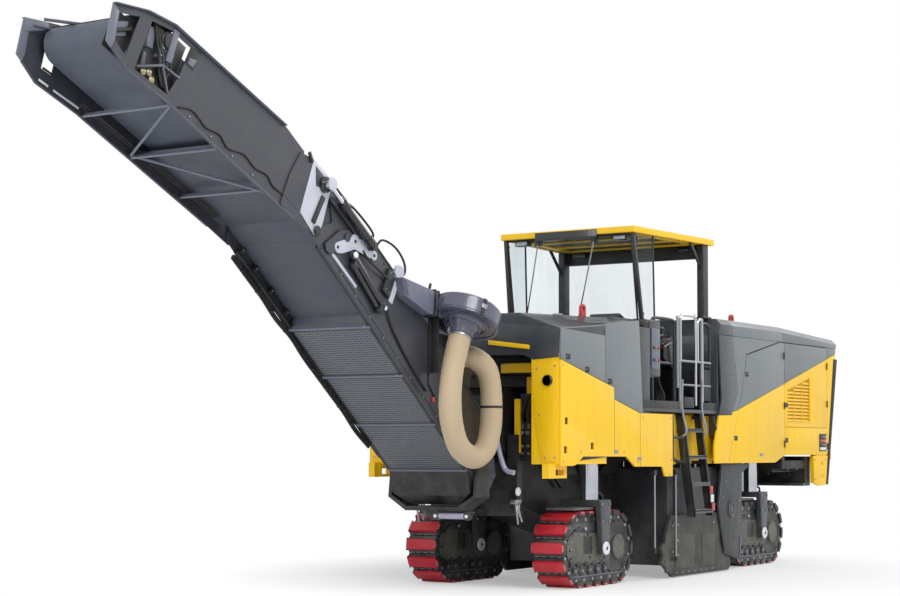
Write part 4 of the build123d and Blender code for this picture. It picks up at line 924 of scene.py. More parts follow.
# ---- operators' platform and roof
def platform():
    body = Piece("platform_deck", "anthracite")
    low, high = platform_low, platform_high
    body.block(low, high, anthracite)
    # tear-drop treads in rows, and a kick plate round the edge
    for i in range(26):
        for j in range(26):
            x = low.x + 0.06 + (high.x - low.x - 0.12) * (i + 0.5 * (j % 2)) / 26.5
            y = low.y + 0.08 + (high.y - low.y - 0.16) * j / 25
            body.block((x - 0.016, y - 0.004, high.z), (x + 0.016, y + 0.004, high.z + 0.003), black, 0.001, 1)
    for side in SIDES:
        edge_y = side * (high.y - 0.012)
        for x0, x1 in ((0.56, 1.7), (-0.42, -0.02)):
            body.block((at(x0), edge_y - 0.006, high.z), (at(x1), edge_y + 0.006, high.z + 0.09), black, 0.003)
    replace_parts(body.done(), "platform_floor")

    skirts = Piece("recess_skirts", "anthracite")
    low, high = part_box("recess_panels")
    for side in SIDES:
        place = side_at(high.y - 0.03, side)
        skirts.plate([(low.x, low.z), (high.x, low.z), (high.x, high.z), (low.x, high.z)], 0, 0.03, yellow, 0.004,
            place=place)
        # inclined panels joining it to the flanks, cut-outs with a dark back and guard frames by the ladder
        skirts.plate([(at(x), side * y) for x, y in ((0.825, 1.204), (0.45, 1.07), (-0.74, 1.07), (-0.98, 1.204),
            (-0.98, 1.192), (-0.745, 1.058), (0.455, 1.058), (0.825, 1.192))], 1.31, 1.885, yellow, 0.002)
        skirts.tube([(at(x), side * 1.19, z) for x, z in ((0.8, 1.88), (0.79, 1.4), (0.76, 1.37), (0.54, 1.33),
            (0.5, 1.36), (0.5, 1.88))], 0.02, black)
        skirts.rod((at(0.79), side * 1.19, 1.62), (at(0.5), side * 1.19, 1.62), 0.016, black)
        skirts.tube([(at(x), side * 1.19, z) for x, z in ((-0.29, 1.88), (-0.47, 1.52), (-0.48, 1.36), (-0.45, 1.33),
            (-0.3, 1.33))], 0.02, black)
        for x, z, wide, tall in ((0, 1.6, 0.16, 0.4), (0.24, 1.6, 0.12, 0.5)):
            skirts.block((at(x) - wide / 2, z - tall / 2, 0.03), (at(x) + wide / 2, z + tall / 2, 0.045), black,
                0.008, place=place)
            skirts.bolts([(at(x) + sx * (wide / 2 - 0.02), z + sz * (tall / 2 - 0.02)) for sx in (-1,
                1) for sz in (-1, 1)], zinc, 0.007, 0.005, 0.045, place=place)
    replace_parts(skirts.done(), "recess_panels")

    wall = Piece("rear_wall_skin", "anthracite")
    low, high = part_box("platform_rear_wall")
    wall.block(low, high, anthracite)
    for y in (-0.72, 0, 0.72):
        wall.block((high.x, y - 0.3, 2.05), (high.x + 0.012, y + 0.3, 2.78), anthracite, 0.01)
        wall.rod((high.x + 0.012, y + 0.22, 2.42), (high.x + 0.03, y + 0.22, 2.42), 0.018, zinc)
    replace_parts(wall.done(), "platform_rear_wall")


def rails():
    """Bent-tube handrails with rounded corners and base plates, and the rail beside each ladder."""
    body = Piece("handrail_tubes", "black_steel")
    _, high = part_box("handrails")
    y_out = high.y - 0.019
    for side in SIDES:
        y = side * y_out
        for x0, x1 in ((0.62, 1.18), (-0.33, -0.06)):
            x0, x1, top = at(x0), at(x1), high.z - 0.019
            body.tube([(x0, y, floor_z), (x0, y, top - 0.12), (x0 + 0.02, y, top - 0.03), (x0 + 0.09, y, top),
                (x1 - 0.09, y, top), (x1 - 0.02, y, top - 0.03), (x1, y, top - 0.12), (x1, y, floor_z)], 0.019, black)
            body.rod((x0, y, 2.48), (x1, y, 2.48), 0.017, black)
            for x in (x0, x1):
                body.block((x - 0.05, y - 0.04, floor_z), (x + 0.05, y + 0.04, floor_z + 0.012), black, 0.003)
    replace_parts(body.done(), "handrails")


def entry_gear():
    """What stands in the entry: bright grab bars, a chain, the black post and the control box."""
    body = Piece("entry_fittings", "black_steel")
    for side in SIDES:
        y = side * (side_y - 0.05)
        for x, z0, z1 in ((0.54, 1.93, 3.02), (0.6, 2.2, 3.04), (-0.04, 1.93, 3.05)):
            body.rod((at(x), y, z0), (at(x), y, z1), 0.016, link_grey)
        for x0, x1, top in ((0.52, 0.12, 3.06), (0.06, -0.06, 3.03)):
            body.tube([(at(x0), y, 2.52), (at(x0), y, top - 0.08), (at(x0) - 0.03, y, top - 0.01),
                (at(x0) - 0.09, y, top), (at(x1) + 0.09, y, top), (at(x1) + 0.03, y, top - 0.01),
                (at(x1), y, top - 0.08), (at(x1), y, 2)], 0.015, chrome)
        body.each(body.rod, ((at(0.58), y, 2.52), (at(-0.28), y, 2.52), 0.014, link_grey),
            ((at(0.58), y, 2.24), (at(-0.28), y, 2.24), 0.011, link_grey))
        body.each(body.block, ((at(1.3), side * 0.96, floor_z), (at(1.58), side * 1.17, 2.86), anthracite, 0.02),
            ((at(1.02), side * 0.94, 2.3), (at(1.3), side * 1.16, 2.96), gloss, 0.03, 3),
            ((at(1.06), side * 1.16, 2.4), (at(1.26), side * 1.172, 2.86), flange_grey, 0.008))
        for k in range(6):
            body.rod((at(1.1) + 0.06 * (k % 3), side * 1.172, 2.5 + 0.14 * (k // 3)), (at(1.1) + 0.06 * (k % 3),
                side * 1.186, 2.5 + 0.14 * (k // 3)), 0.016, (red_paint, zinc, gloss)[k % 3], 20, 0.002)
        body.each(body.block, ((at(-0.34), side * 0.98, 2.06), (at(-0.1), side * 1.15, 2.44), black, 0.015),
            ((at(0.16), side * 1.02, 1.97), (at(0.44), side * 1.17, 2.1), black, 0.015))
        for k in range(4):
            body.tube([(at(1.02), side * (1 + 0.035 * k), 2.42), (at(0.9), side * (1 + 0.03 * k), 2.3 - 0.03 * k),
                (at(0.84), side * (1.02 + 0.03 * k), 2.1), (at(0.86), side * (1 + 0.03 * k), 1.96)], 0.013,
                black_rubber)
    body.done()


def dashboard():
    body = Piece("dash_shell", "anthracite")
    low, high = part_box("dashboard")
    rear = low.x
    body.plate([(high.x, low.z), (high.x, high.z), (rear, high.z), (rear + 0.06, 2.7), (rear + 0.26, 2.6),
        (rear + 0.26, low.z)], 0, 2 * high.y, anthracite, 0.02, (), 3, place=side_at(-high.y))
    face = front_at(rear + 0.258, -1)
    for y in (-0.55, 0, 0.55):
        body.each(body.block, ((-0.2 + y, 2.06, 0), (0.2 + y, 2.52, 0.012), dark_plastic, 0.012),
            ((-0.17 + y, 2.36, 0.012), (0.17 + y, 2.4, 0.03), zinc, 0.01), place=face)
    for side in SIDES:
        top = tilted((rear + 0.17, side * 0.52, high.z), -0.35)
        body.each(body.block, ((-0.12, -0.2, 0), (0.1, 0.2, 0.05), gloss, 0.02, 3),
            ((-0.09, -0.16, 0.05), (0.07, 0.16, 0.056), glass_black, 0.003), place=top)
    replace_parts(body.done(), "dashboard")


def consoles():
    body = Piece("console_shells", "black_steel")
    low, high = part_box("operator_consoles")
    for side in SIDES:
        y0 = 0.64 if side == 1 else -0.9
        outline = stations([(-0.06, low.z), (-0.06, 2.64), (0.04, 2.82), (0.42, 2.7), (0.42, 2.56), (0.16, 2.44),
            (0.16, low.z)])
        body.plate(outline, 0, 0.26, gloss, 0.02, (), 3, place=side_at(y0))
        top = tilted((at(0.23), y0 + 0.13, 2.76), 0.306)
        body.block((-0.17, -0.11, -0.004), (0.17, 0.11, 0.008), dark_plastic, 0.006, place=top)
        for row in range(3):
            for column in range(5):
                x, y = -0.13 + 0.06 * column, -0.07 + 0.07 * row
                body.rod((x, y, 0.006), (x, y, 0.02), 0.011, (zinc, gloss, lamp_red)[(row + column) % 3], 20, 0.002,
                    place=top)
        body.rod((-0.02, 0, 0), (-0.05, 0, 0.13), 0.012, gloss, place=top)
        body.turned([(0, 0.05), (0.018, 0.045), (0.026, 0.025), (0.022, 0), (0, -0.004)],
            top @ Vector((-0.05, 0, 0.13)), gloss)
        # steering wheel beside the console
        if side == 1:
            rim = [(*spot, 0.1) for spot in ring((0, 0), 0.11, [a * pi / 12 for a in range(25)])]
            body.tube(rim, 0.011, black_rubber, 16, 2, place=top @ Matrix.Translation((0.1, 0, 0)))
            body.rod((0.1, 0, 0), (0.1, 0, 0.1), 0.016, gloss, place=top)
            for spot in ring((0.1, 0), 0.105, (0.5, 2.6, 4.7)):
                body.rod((0.1, 0, 0.1), (*spot, 0.1), 0.007, zinc, place=top)
    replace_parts(body.done(), "operator_consoles")


def stools():
    """Two stools: a pedestal each, and cushions with piped seams."""
    frames = Piece("stool_frames", "seat_cover")
    for side in SIDES:
        x, y = at(-0.18), side * 0.33
        frames.turned([(0, 0), (0.11, 0), (0.11, 0.012), (0.05, 0.03), (0.04, 0.3), (0.035, 0.44), (0, 0.44)],
            (x, y, floor_z), black)
        frames.each(frames.block, ((x - 0.17, y - 0.19, 2.385), (x + 0.19, y + 0.19, 2.42), black, 0.01),
            ((x - 0.235, y - 0.06, 2.4), (x - 0.215, y + 0.06, 2.8), black, 0.006))
        for hand in (-1, 1):
            frames.tube([(x - 0.14, y + hand * 0.2, 2.42), (x - 0.14, y + hand * 0.24, 2.5),
                (x - 0.12, y + hand * 0.25, 2.64), (x - 0.02, y + hand * 0.25, 2.68), (x + 0.12, y + hand * 0.25,
                2.68)], 0.012, black)
    stool_frame = frames.done()
    pads = []
    for name, side in LEFT_RIGHT:
        x, y = at(-0.18), side * 0.33
        for kind, centre, size in (("seat", (x + 0.01, y, 2.47), (0.42, 0.46, 0.1)), ("back", (x - 0.17, y, 2.74),
                (0.1, 0.42, 0.44))):
            pads.append(cushion(f"stool_{kind}_{name}", centre, size))
    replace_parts(stool_frame, "operator_stools")
    for pad in pads:
        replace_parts(pad, "operator_stools")
    return pads


def cushion(name, centre, size):
    """A crowned cushion: a fine grid swollen towards its middle, with a seam round its waist."""
    pad = bmesh.new()
    bmesh.ops.create_cube(pad, size=1)
    bmesh.ops.subdivide_edges(pad, edges=pad.edges, cuts=13, use_grid_fill=True)
    thin = min(range(3), key=lambda k: size[k])
    others = [k for k in range(3) if k != thin]
    for vert in pad.verts:
        spot = [2 * c for c in vert.co]
        across = [spot[k] for k in others]
        crown = (1 - abs(across[0]) ** 4) * (1 - abs(across[1]) ** 4)
        rounded = [0, 0, 0]
        corner = (abs(across[0]) * abs(across[1])) ** 6
        for k in others:
            rounded[k] = spot[k] * (1 - 0.05 * corner) * (1 - 0.035 * abs(spot[thin]))
        rounded[thin] = spot[thin] * (0.62 + 0.38 * crown ** 0.6)
        wrinkle = 0.012 * sin(9 * spot[others[0]] + 2 * spot[others[1]]) * crown * abs(spot[thin])
        rounded[thin] += wrinkle
        vert.co = Vector([centre[k] + rounded[k] * size[k] / 2 for k in range(3)])
    mesh = bpy.data.meshes.new(name)
    pad.to_mesh(mesh)
    pad.free()
    for face in mesh.polygons:
        face.use_smooth = True
    mesh.materials.append(seat_cover)
    made = stand(name, mesh)
    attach(made, "chassis")
    return made


def ladder_y(z):
    """The ladders lean outwards towards their feet."""
    return 1.126 + 0.164 * (1.95 - z) / 1.25


def ladders():
    body = Piece("ladder_frames", "black_steel")
    x0, x1 = at(0), at(0.5)
    for side in SIDES:
        # wide stringer plates, tapered to the foot, with a folded front flange
        for x in (x0, x1 - 0.012):
            outline = [(side * (ladder_y(z) + d), z) for z, d in ((1.905, -0.05), (1.905, 0.05), (0.7, 0.05),
                (0.7, -0.055), (1.2, -0.06))]
            body.plate(outline, 0, 0.012, black, 0.002, place=front_at(x))
            inner = 1 if x == x0 else -1
            body.plate([(side * (ladder_y(z) + d), z) for z, d in ((1.905, 0.038), (1.905, 0.05), (0.7, 0.05),
                (0.7, 0.038))], 0, 0.042, black, 0.002, place=front_at(x if inner == 1 else x - 0.03))
        for z in (0.77, 1.085, 1.4, 1.715):
            y = side * ladder_y(z)
            body.each(body.block, ((x0 + 0.012, y - 0.06, z - 0.012), (x1 - 0.012, y + 0.06, z + 0.004), cast_grey,
                0.003), ((x0 + 0.012, y + side * 0.052, z - 0.034), (x1 - 0.012, y + side * 0.06, z + 0.01),
                cast_grey, 0.002), ((x0 + 0.012, y - side * 0.06, z - 0.034), (x1 - 0.012, y - side * 0.052,
                z + 0.01), cast_grey, 0.002))
            for k in range(9):
                for row in (-0.032, 0, 0.032):
                    x = x0 + 0.05 + 0.05 * k
                    body.rod((x, y + row, z + 0.004), (x, y + row, z + 0.011), 0.01, zinc, 8, end_radius=0.006)
        # swing arms to the frame, hand loops and the reflectors by the foot
        for z in (1.33, 1.86):
            for x in (x0 + 0.03, x1 - 0.03):
                body.block((x - 0.02, side * 0.955, z - 0.022), (x + 0.02, side * (ladder_y(z) - 0.02), z + 0.022),
                    black)
        for x in (x0 - 0.016, x1 + 0.016):
            body.tube([(x, side * (ladder_y(1.8) + 0.02), 1.62), (x, side * (ladder_y(1.8) + 0.09), 1.7),
                (x, side * (ladder_y(1.9) + 0.05), 1.95), (x, side * (side_y - 0.03), 2.3)], 0.013, link_grey)
        for k, finish in enumerate((lamp_red, white_lamp_and_highlight, lamp_red)):
            z = 0.76 + 0.1 * k
            body.block((x0 - 0.02, side * (ladder_y(z) + 0.052), z), (x0 + 0.055, side * (ladder_y(z) + 0.062),
                z + 0.09), finish, 0.003)
    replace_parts(body.done(), "ladders")


glass_black = coated("dark screen glass", (16, 18, 22), 0.12, 0.05, 0, coat=0.6)


def roof():
    body = Piece("roof_shell", "body_yellow")
    low, high = roof_low, roof_high
    front_half, rear_half = 0.903, 1.06
    outline = [(high.x, -front_half), (high.x, front_half), (low.x, rear_half), (low.x, -rear_half)]
    inside = [(high.x - 0.05, -front_half + 0.05), (high.x - 0.05, front_half - 0.05),
        (low.x + 0.05, rear_half - 0.055), (low.x + 0.05, -rear_half + 0.055)]
    body.plate(outline, 0, high.z - low.z, yellow, 0.012, [inside], 3, place=level_at(low.z))
    body.plate(inside, 0, 0.016, yellow, 0.002, place=level_at(high.z - 0.022))
    body.plate(inside, 0, 0.01, black, 0.002, place=level_at(low.z + 0.022))
    # yellow beams and the fold-out edges underneath
    for x in (-0.45, 0, 0.52, 1):
        half = 0.86 + 0.12 * (1.19 - x) / 1.83
        body.block((at(x) - 0.035, -half, low.z + 0.002), (at(x) + 0.035, half, low.z + 0.03), yellow, 0.006)
    for side in SIDES:
        body.plate([(high.x - 0.06, side * 0.7), (high.x - 0.06, side * 0.78), (low.x + 0.06, side * 0.93),
            (low.x + 0.06, side * 0.85)], 0, 0.024, yellow, 0.006, place=level_at(low.z))
        # work lamps hung under the corners
        for x in (1.05, -0.5):
            half = 0.8 + 0.1 * (1.19 - x) / 1.83
            facing = 1 if x > 0 else -1
            body.each(body.block, ((at(x) - 0.05, side * (half - 0.14) - 0.09, low.z - 0.075),
                (at(x) + 0.05, side * (half - 0.14) + 0.09, low.z + 0.002), gloss, 0.012),
                ((at(x) + facing * 0.046, side * (half - 0.14) - 0.075, low.z - 0.063),
                (at(x) + facing * 0.056, side * (half - 0.14) + 0.075, low.z - 0.012), white_lamp_and_highlight))
    # dark plate on the front edge, the dark header between the rear posts, ribs pressed in the top
    body.each(body.block, ((high.x - 0.012, -0.42, low.z - 0.04), (high.x + 0.006, 0.42, low.z + 0.062), gloss,
        0.006), ((low.x + 0.06, -0.95, low.z - 0.16), (low.x + 0.14, 0.95, low.z + 0.004), black, 0.01))
    for y in (-0.6, -0.3, 0, 0.3, 0.6):
        body.block((low.x + 0.12, y - 0.03, high.z - 0.008), (high.x - 0.12, y + 0.03, high.z - 0.001), yellow)
    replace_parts(body.done(), "roof")


def posts_and_glass():
    foot = (at(0.97), 0.89, 2.975)
    head = (at(1.13), 0.86, roof_low.z)
    body = Piece("roof_post_frames", "black_steel")
    for side in SIDES:
        lean = Vector(head) - Vector(foot)
        post = Matrix.Translation((foot[0], side * foot[1], foot[2]))
        shear = Matrix(((1, 0, lean.x / lean.z, 0), (0, 1, side * lean.y / lean.z, 0), (0, 0, 1, 0), (0, 0, 0, 1)))
        body.block((-0.024, -0.022, 0), (0.024, 0.022, lean.z - 0.001), black, 0.006, place=post @ shear)
        body.block((-0.05, -0.045, 0), (0.05, 0.045, 0.016), black, place=post)
        rear_x, y = at(-0.47), side * 0.98
        body.each(body.block, ((rear_x - 0.07, y - 0.045, hood_high.z), (rear_x + 0.07, y + 0.045, roof_low.z), black,
            0.014, 3), ((rear_x - 0.1, y - 0.075, hood_high.z), (rear_x + 0.1, y + 0.075, hood_high.z + 0.018), black,
            0.005))
        body.bolts([(rear_x + dx, y + dy) for dx in (-0.08, 0.08) for dy in (-0.06, 0.06)], zinc, 0.012, 0.012,
            hood_high.z + 0.018, place=level_at(0))
        x0, top = rear_x + 0.07, roof_low.z
        body.plate([(x0, top - 0.3), (x0 + 0.3, top), (x0 + 0.24, top), (x0, top - 0.23)], 0, 0.02, black,
            place=side_at(y - 0.01))
    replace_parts(body.done(), "roof_posts")

    pane = Piece("windscreen_pane", "glass")
    lean = Vector((head[0] - foot[0], 0, head[2] - foot[2]))
    slant = Matrix.Translation((foot[0], 0, foot[2])) @ Matrix(((1, 0, lean.x / lean.z, 0), (0, 1, 0, 0),
        (0, 0, 1, 0), (0, 0, 0, 1)))
    pane.block((-0.004, -0.835, 0.012), (0.004, 0.835, lean.z - 0.012), glass, 0.001, 1, place=slant)
    for left, right, low, high in ((-0.845, 0.845, 0, 0.022), (-0.845, 0.845, lean.z - 0.024, lean.z - 0.002),
            (-0.848, -0.828, 0, lean.z - 0.002), (0.828, 0.848, 0, lean.z - 0.002)):
        pane.block((-0.008, left, low), (0.008, right, high), black_rubber, 0.003, place=slant)
    # two wipers hung from the header, bright arms over black blades
    for y, swing in ((0.36, -0.32), (-0.4, -0.28)):
        hub = Vector((0.03, y, lean.z - 0.05))
        tip = Vector((0.022, y + swing * 0.62, lean.z - 0.66))
        pane.each(pane.rod, ((0, y, lean.z - 0.05), (0.045, y, lean.z - 0.05), 0.026, gloss, 20, 0.004),
            (hub, tip, 0.008, zinc), place=slant)
        along = Vector((0, swing * 0.62, -0.61)).normalized() * 0.3
        pane.rod(tip - along, tip + along, 0.007, black_rubber, place=slant)
        pane.block((0.008, y - 0.05, lean.z - 0.09), (0.03, y + 0.05, lean.z - 0.02), gloss, 0.008, place=slant)
    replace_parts(pane.done(), "windscreen")

    side_glass = Piece("side_panes", "glass")
    for side in SIDES:
        shape = [(head[0] - 0.05, roof_low.z - 0.01), (foot[0] - 0.03, foot[2] + 0.02), (at(0.62), foot[2] + 0.02),
            (at(0.66), roof_low.z - 0.01)]
        side_glass.plate(shape, -0.003, 0.003, glass, 0.001, (), 1, place=side_at(0.875, side))
        for (x, z), rise in ((shape[0], -0.06), (shape[1], 0.06)):
            side_glass.rod((x - 0.02, side * 0.862, z + rise), (x - 0.02, side * 0.888, z + rise), 0.02, gloss, 20,
                0.003)
        side_glass.rod((at(0.62), side * 0.875, foot[2]), (at(0.66), side * 0.875, roof_low.z), 0.012, black)
    side_glass.done()


platform()
rails()
entry_gear()
dashboard()
consoles()
stool_pads = stools()
ladders()
roof()
posts_and_glass()


# ---- discharge conveyor
outlet_grey = coated("outlet duct paint", (104, 107, 124), 0.34, 0.15, 0.15, coat=0.2)
# pale linkage paint, also used for a painted highlight strip on the lower section
pale_link_and_highlight = coated("pale linkage plate", (196, 196, 206), 0.36, 0.12, 0.2)
CROSSWISE = (-plate_y + 0.0105, plate_y - 0.0105)  # between the conveyor's side plates


def strip(first, last, half):
    """The outline of a flat bar between two points of a drawing."""
    first, last = Vector((*first, 0)), Vector((*last, 0))
    off = (last - first).normalized().cross(Vector((0, 0, 1))) * half
    return [tuple(corner.xy) for corner in (first + off, last + off, last - off, first - off)]


def band(line, drop):
    """The outline of a strip hanging under a line of points."""
    return [*line, *((a, b - drop) for a, b in reversed(line))]


def guards():
    """Punched guard sheets between cross bars, the plain pan above them and the channels at their sides, black as
    painted shade.
    """
    piece = Piece("lower_guard_sheets", body="conveyor_lower")
    piece.place = lower_at()
    low, high = CROSSWISE
    bars = (0.401, 1.134, 1.868, 2.568)
    piece.block((0, 0, low), (0.381, 0.012, high), black)
    for start, end in zip(bars, bars[1:]):
        piece.each(piece.block, ((start, 0.004, low), (end, 0.012, high), pan_grey),
            ((start + 0.03, -0.004, low + 0.035), (end - 0.03, 0.006, high - 0.035), punched_guard, 0.008))
    for start in bars:
        piece.plate([(start - 0.014, -0.014), (start + 0.014, -0.014), (start + 0.014, 0), (start + 0.02, 0.03),
            (start - 0.02, 0.03), (start - 0.014, 0)], low, high, flange_grey)
        piece.bolts([(0.02, 0)], zinc, place=piece.place @ tilted((start, -0.014, high - 0.05), pi / 2, "X"))
    piece.plate([(2.578, 0.012), (2.628, 0.095), (3.634, 0.095), (3.634, 0.105), (2.618, 0.105), (2.568, 0.022)],
        low + 0.03, high - 0.03, pan_grey)
    # black channels along both edges paint the shade in the gap beside the side plates
    for inner, outer in ((low, low + 0.035), (high - 0.035, high)):
        piece.block((0.4, 0, inner), (3.63, 0.03, outer), black)
    # sheet carrying the pan on past the fold, and the cheeks beside it
    turn_at = Vector((LOWER_LONG, FOLD_RISE, 0))
    end = lower_at().inverted() @ (upper_at() @ Vector((0.15, 0.135, 0)))
    piece.plate([(3.6, 0.097), (turn_at.x, 0.098), (end.x, end.y), (end.x - 0.004, end.y + 0.008), (turn_at.x, 0.108),
        (3.6, 0.107)], low + 0.03, high - 0.03, pan_grey, 0.002)
    for y in (low + 0.004, high - 0.012):
        piece.plate([(3.55, 0.11), (3.85, 0.1), (3.98, 0.32), (3.9, 0.62), (3.6, 0.66)], y, y + 0.008, conveyor_grey)
    for u in (2.75, 3.05, 3.35, 3.6):
        piece.block((u - 0.02, 0.03, low), (u + 0.02, 0.1, low + 0.06), black)
        piece.bolts([(u, 0.06)], zinc, 0.012, place=piece.place @ Matrix.Translation((0, 0, low + 0.06)))
    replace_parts(piece.done(), "lower_guards")


def lower_trim():
    """Rolled edges, ribs, a wiring run and the fold linkage on the lower section's plates."""
    piece = Piece("lower_plate_trim", body="conveyor_lower")
    for side in SIDES:
        piece.place = lower_at(plate_y, side)
        top = [(0.36, 0.627), (2.48, 0.656), (3.885, 0.602)]
        piece.tube([(*point, 0.004) for point in top], 0.009, conveyor_grey, 10, 1)
        piece.each(piece.plate, ([(0.6, -0.002), (3.6, -0.002), (3.6, 0.018), (0.6, 0.018)], -0.001, 0.014,
            conveyor_grey), (band([(0.55, 0.075), (3.3, 0.075)], 0.014), 0, 0.006, pan_grey, 0.002))
        piece.each(piece.bolts, ([(0.62 + 0.29 * k, 0.045) for k in range(10)], zinc, 0.01),
            ([(0.7 + 0.35 * k, 0.6) for k in range(8)], conveyor_grey, 0.012))
        for lean in ((0.32, 0.067, -0.04, 0.12), (0.3, 0.22, -0.04, 0.225)):
            piece.plate(strip(lean[:2], lean[2:], 0.014), 0, 0.007, conveyor_grey, 0.002)
        # stiffener beside the duct, and the marker lamp under it
        piece.plate([(1.3, 0.17), (1.35, 0.33), (1.47, 0.47), (1.66, 0.56), (1.78, 0.58), (1.5, 0.2)], 0, 0.02,
            pan_grey, 0.008)
        piece.turned([(0.034, 0), (0.034, 0.008), (0.028, 0.014), (0, 0.017)], (1.34, 0.14, 0), lamp_red)
        # strut plate, bell crank, push strut, and below them a pale strip that is a painted highlight line
        piece.plate([(3.706, 0.6), (3.119, 0.588), (3.338, 0.454), (3.823, 0.423)], 0.028, 0.037, conveyor_grey)
        piece.bolts([(3.75, 0.5), (3.6, 0.53), (3.45, 0.54)], black, 0.016, 0.006, 0.037)
        crank = [(3.45, 0.135), (3.495, 0.18), (3.473, 0.229), (3.343, 0.417), (3.232, 0.495), (2.99, 0.566),
            (2.95, 0.52), (3.016, 0.46), (3.247, 0.349), (3.361, 0.186), (3.41, 0.14)]
        piece.plate(crank, 0.0095, 0.0275, pale_link_and_highlight)
        for u, v, radius in ((3.45, 0.18, 0.044), (2.99, 0.52, 0.046), (3.29, 0.41, 0.07)):
            piece.rod((u, v, 0.0095), (u, v, 0.0278), radius, pale_link_and_highlight, 28, 0.003)
            piece.turned([(0.016, 0), (0.016, 0.004), (0.01, 0.004), (0, 0.001)], (u, v, 0.0275), black)
        piece.turned([(0.03, 0), (0.03, 0.012), (0.022, 0.018), (0, 0.019)], (3.25, 0.27, 0.072), white_lamp_and_highlight)
        piece.each(piece.rod, ((2.64, 0.229, 0.043), (3.22, 0.268, 0.043), 0.032, gloss, 24, 0.003),
            ((2.62, 0.17, 0.03), (3.2, 0.21, 0.03), 0.024, gloss, 20, 0.003))
        for u, v in ((2.6, 0.226), (3.2, 0.267), (2.62, 0.17), (3.18, 0.209)):
            piece.rod((u - 0.03, v - 0.002, 0.038), (u + 0.03, v + 0.002, 0.038), 0.036, black, 24, 0.004)
        piece.turned([(0.022, 0), (0.022, 0.02), (0.015, 0.024), (0, 0.024)], (2.575, 0.226, 0.05), white_lamp_and_highlight)
        # the pale strip is a painted highlight line along the plate
        piece.each(piece.plate, (strip((3.45, 0.097), (2.984, 0.115), 0.017), 0, 0.006, pale_link_and_highlight, 0.002),
            ([(3.6, 0.12), (3.46, 0.145), (3.42, 0.2), (3.55, 0.22)], 0, 0.008, black))
        # reel disc on its bracket with the black valve box
        piece.plate(strip((2.565, 0.67), (2.506, 0.368), 0.032), 0, 0.02, pale_link_and_highlight, 0.004)
        piece.turned([(0.072, 0), (0.072, 0.03), (0.06, 0.036), (0.03, 0.03), (0, 0.034)], (2.6, 0.675, 0.012),
            pale_link_and_highlight)
        piece.plate([(2.62, 0.62), (2.74, 0.6), (2.69, 0.36), (2.56, 0.37)], 0, 0.035, black, 0.006)
        piece.bolts([(2.64, 0.58), (2.7, 0.57), (2.6, 0.41), (2.66, 0.4)], zinc, 0.009, 0.006, 0.035)
        piece.each(piece.tube, ([(3, 0.64, 0), (2.97, 0.75, 0.005), (2.8, 0.83, 0.015), (2.62, 0.83, 0.02),
            (2.52, 0.76, 0.02), (2.53, 0.65, 0.01)], 0.011, black_rubber, 10),
            ([(2.68, 0.5, 0.03), (2.9, 0.44, 0.045), (3.05, 0.41, 0.04), (3.15, 0.43, 0.024)], 0.012, black_rubber,
            10), ([(2.55, 0.3, 0.02), (2.3, 0.2, 0.014), (1.9, 0.14, 0.014), (1.5, 0.12, 0.012)], 0.011, black_rubber,
            10))
    # hoses clipped under the right plate's lower edge
    piece.place = lower_at(plate_y, -1)
    for shift, radius in ((0, 0.017), (0.026, 0.012)):
        line = [(0.81 + 0.28 * k, -0.012 - 0.01 * (k % 2) - shift, 0.004 + 0.008 * ((k * 2) % 3)) for k in range(11)]
        piece.tube(line, radius, black_rubber, 10)
    for k in range(10):
        piece.block((0.89 + 0.28 * k, -0.045, -0.012), (0.92 + 0.28 * k, 0.02, 0.03), black)
    piece.done()


def upper_bars():
    """Pan, thin cross bars and braces under the upper section, and the cover over its head."""
    piece = Piece("upper_bars", body="conveyor_upper")
    piece.place = upper_at()
    low, high = CROSSWISE
    piece.plate([(0.1, 0.12), (1.37, 0.105), (1.37, 0.115), (0.1, 0.13)], low, high, pan_grey)
    bars = ((0.74, 0.028), (1.43, 0.005), (2.08, 0.005))
    for u, bottom in bars:
        piece.plate([(u - 0.013, bottom), (u + 0.013, bottom), (u + 0.013, bottom + 0.006),
            (u - 0.005, bottom + 0.008), (u - 0.005, bottom + 0.045), (u - 0.013, bottom + 0.045)], low, high,
            flange_grey, 0.002)
    for left, right in ((2, 1), (0, 1)):
        piece.rod((bars[left][0] - 0.02, 0.026, high - 0.01), (bars[right][0] + 0.02, 0.026, low + 0.01), 0.013,
            flange_grey, 16)
    piece.plate([(2.3, 0.6), (2.48, 0.57), (2.76, 0.43), (2.752, 0.42), (2.475, 0.56), (2.298, 0.59)], low, high,
        black)
    for first, last in (((2.94, 0.36, -0.3), (2.62, 0.49, -0.05)), ((2.92, 0.33, -0.42), (2.7, 0.44, -0.42))):
        piece.rod(first, last, 0.014, pan_grey, 12)
    for y in (-0.43, -0.39):
        piece.rod((0.3, 0.09, y), (2.2, 0.05, y), 0.011, black_rubber, 10)
    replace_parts(piece.done(), "upper_pan")


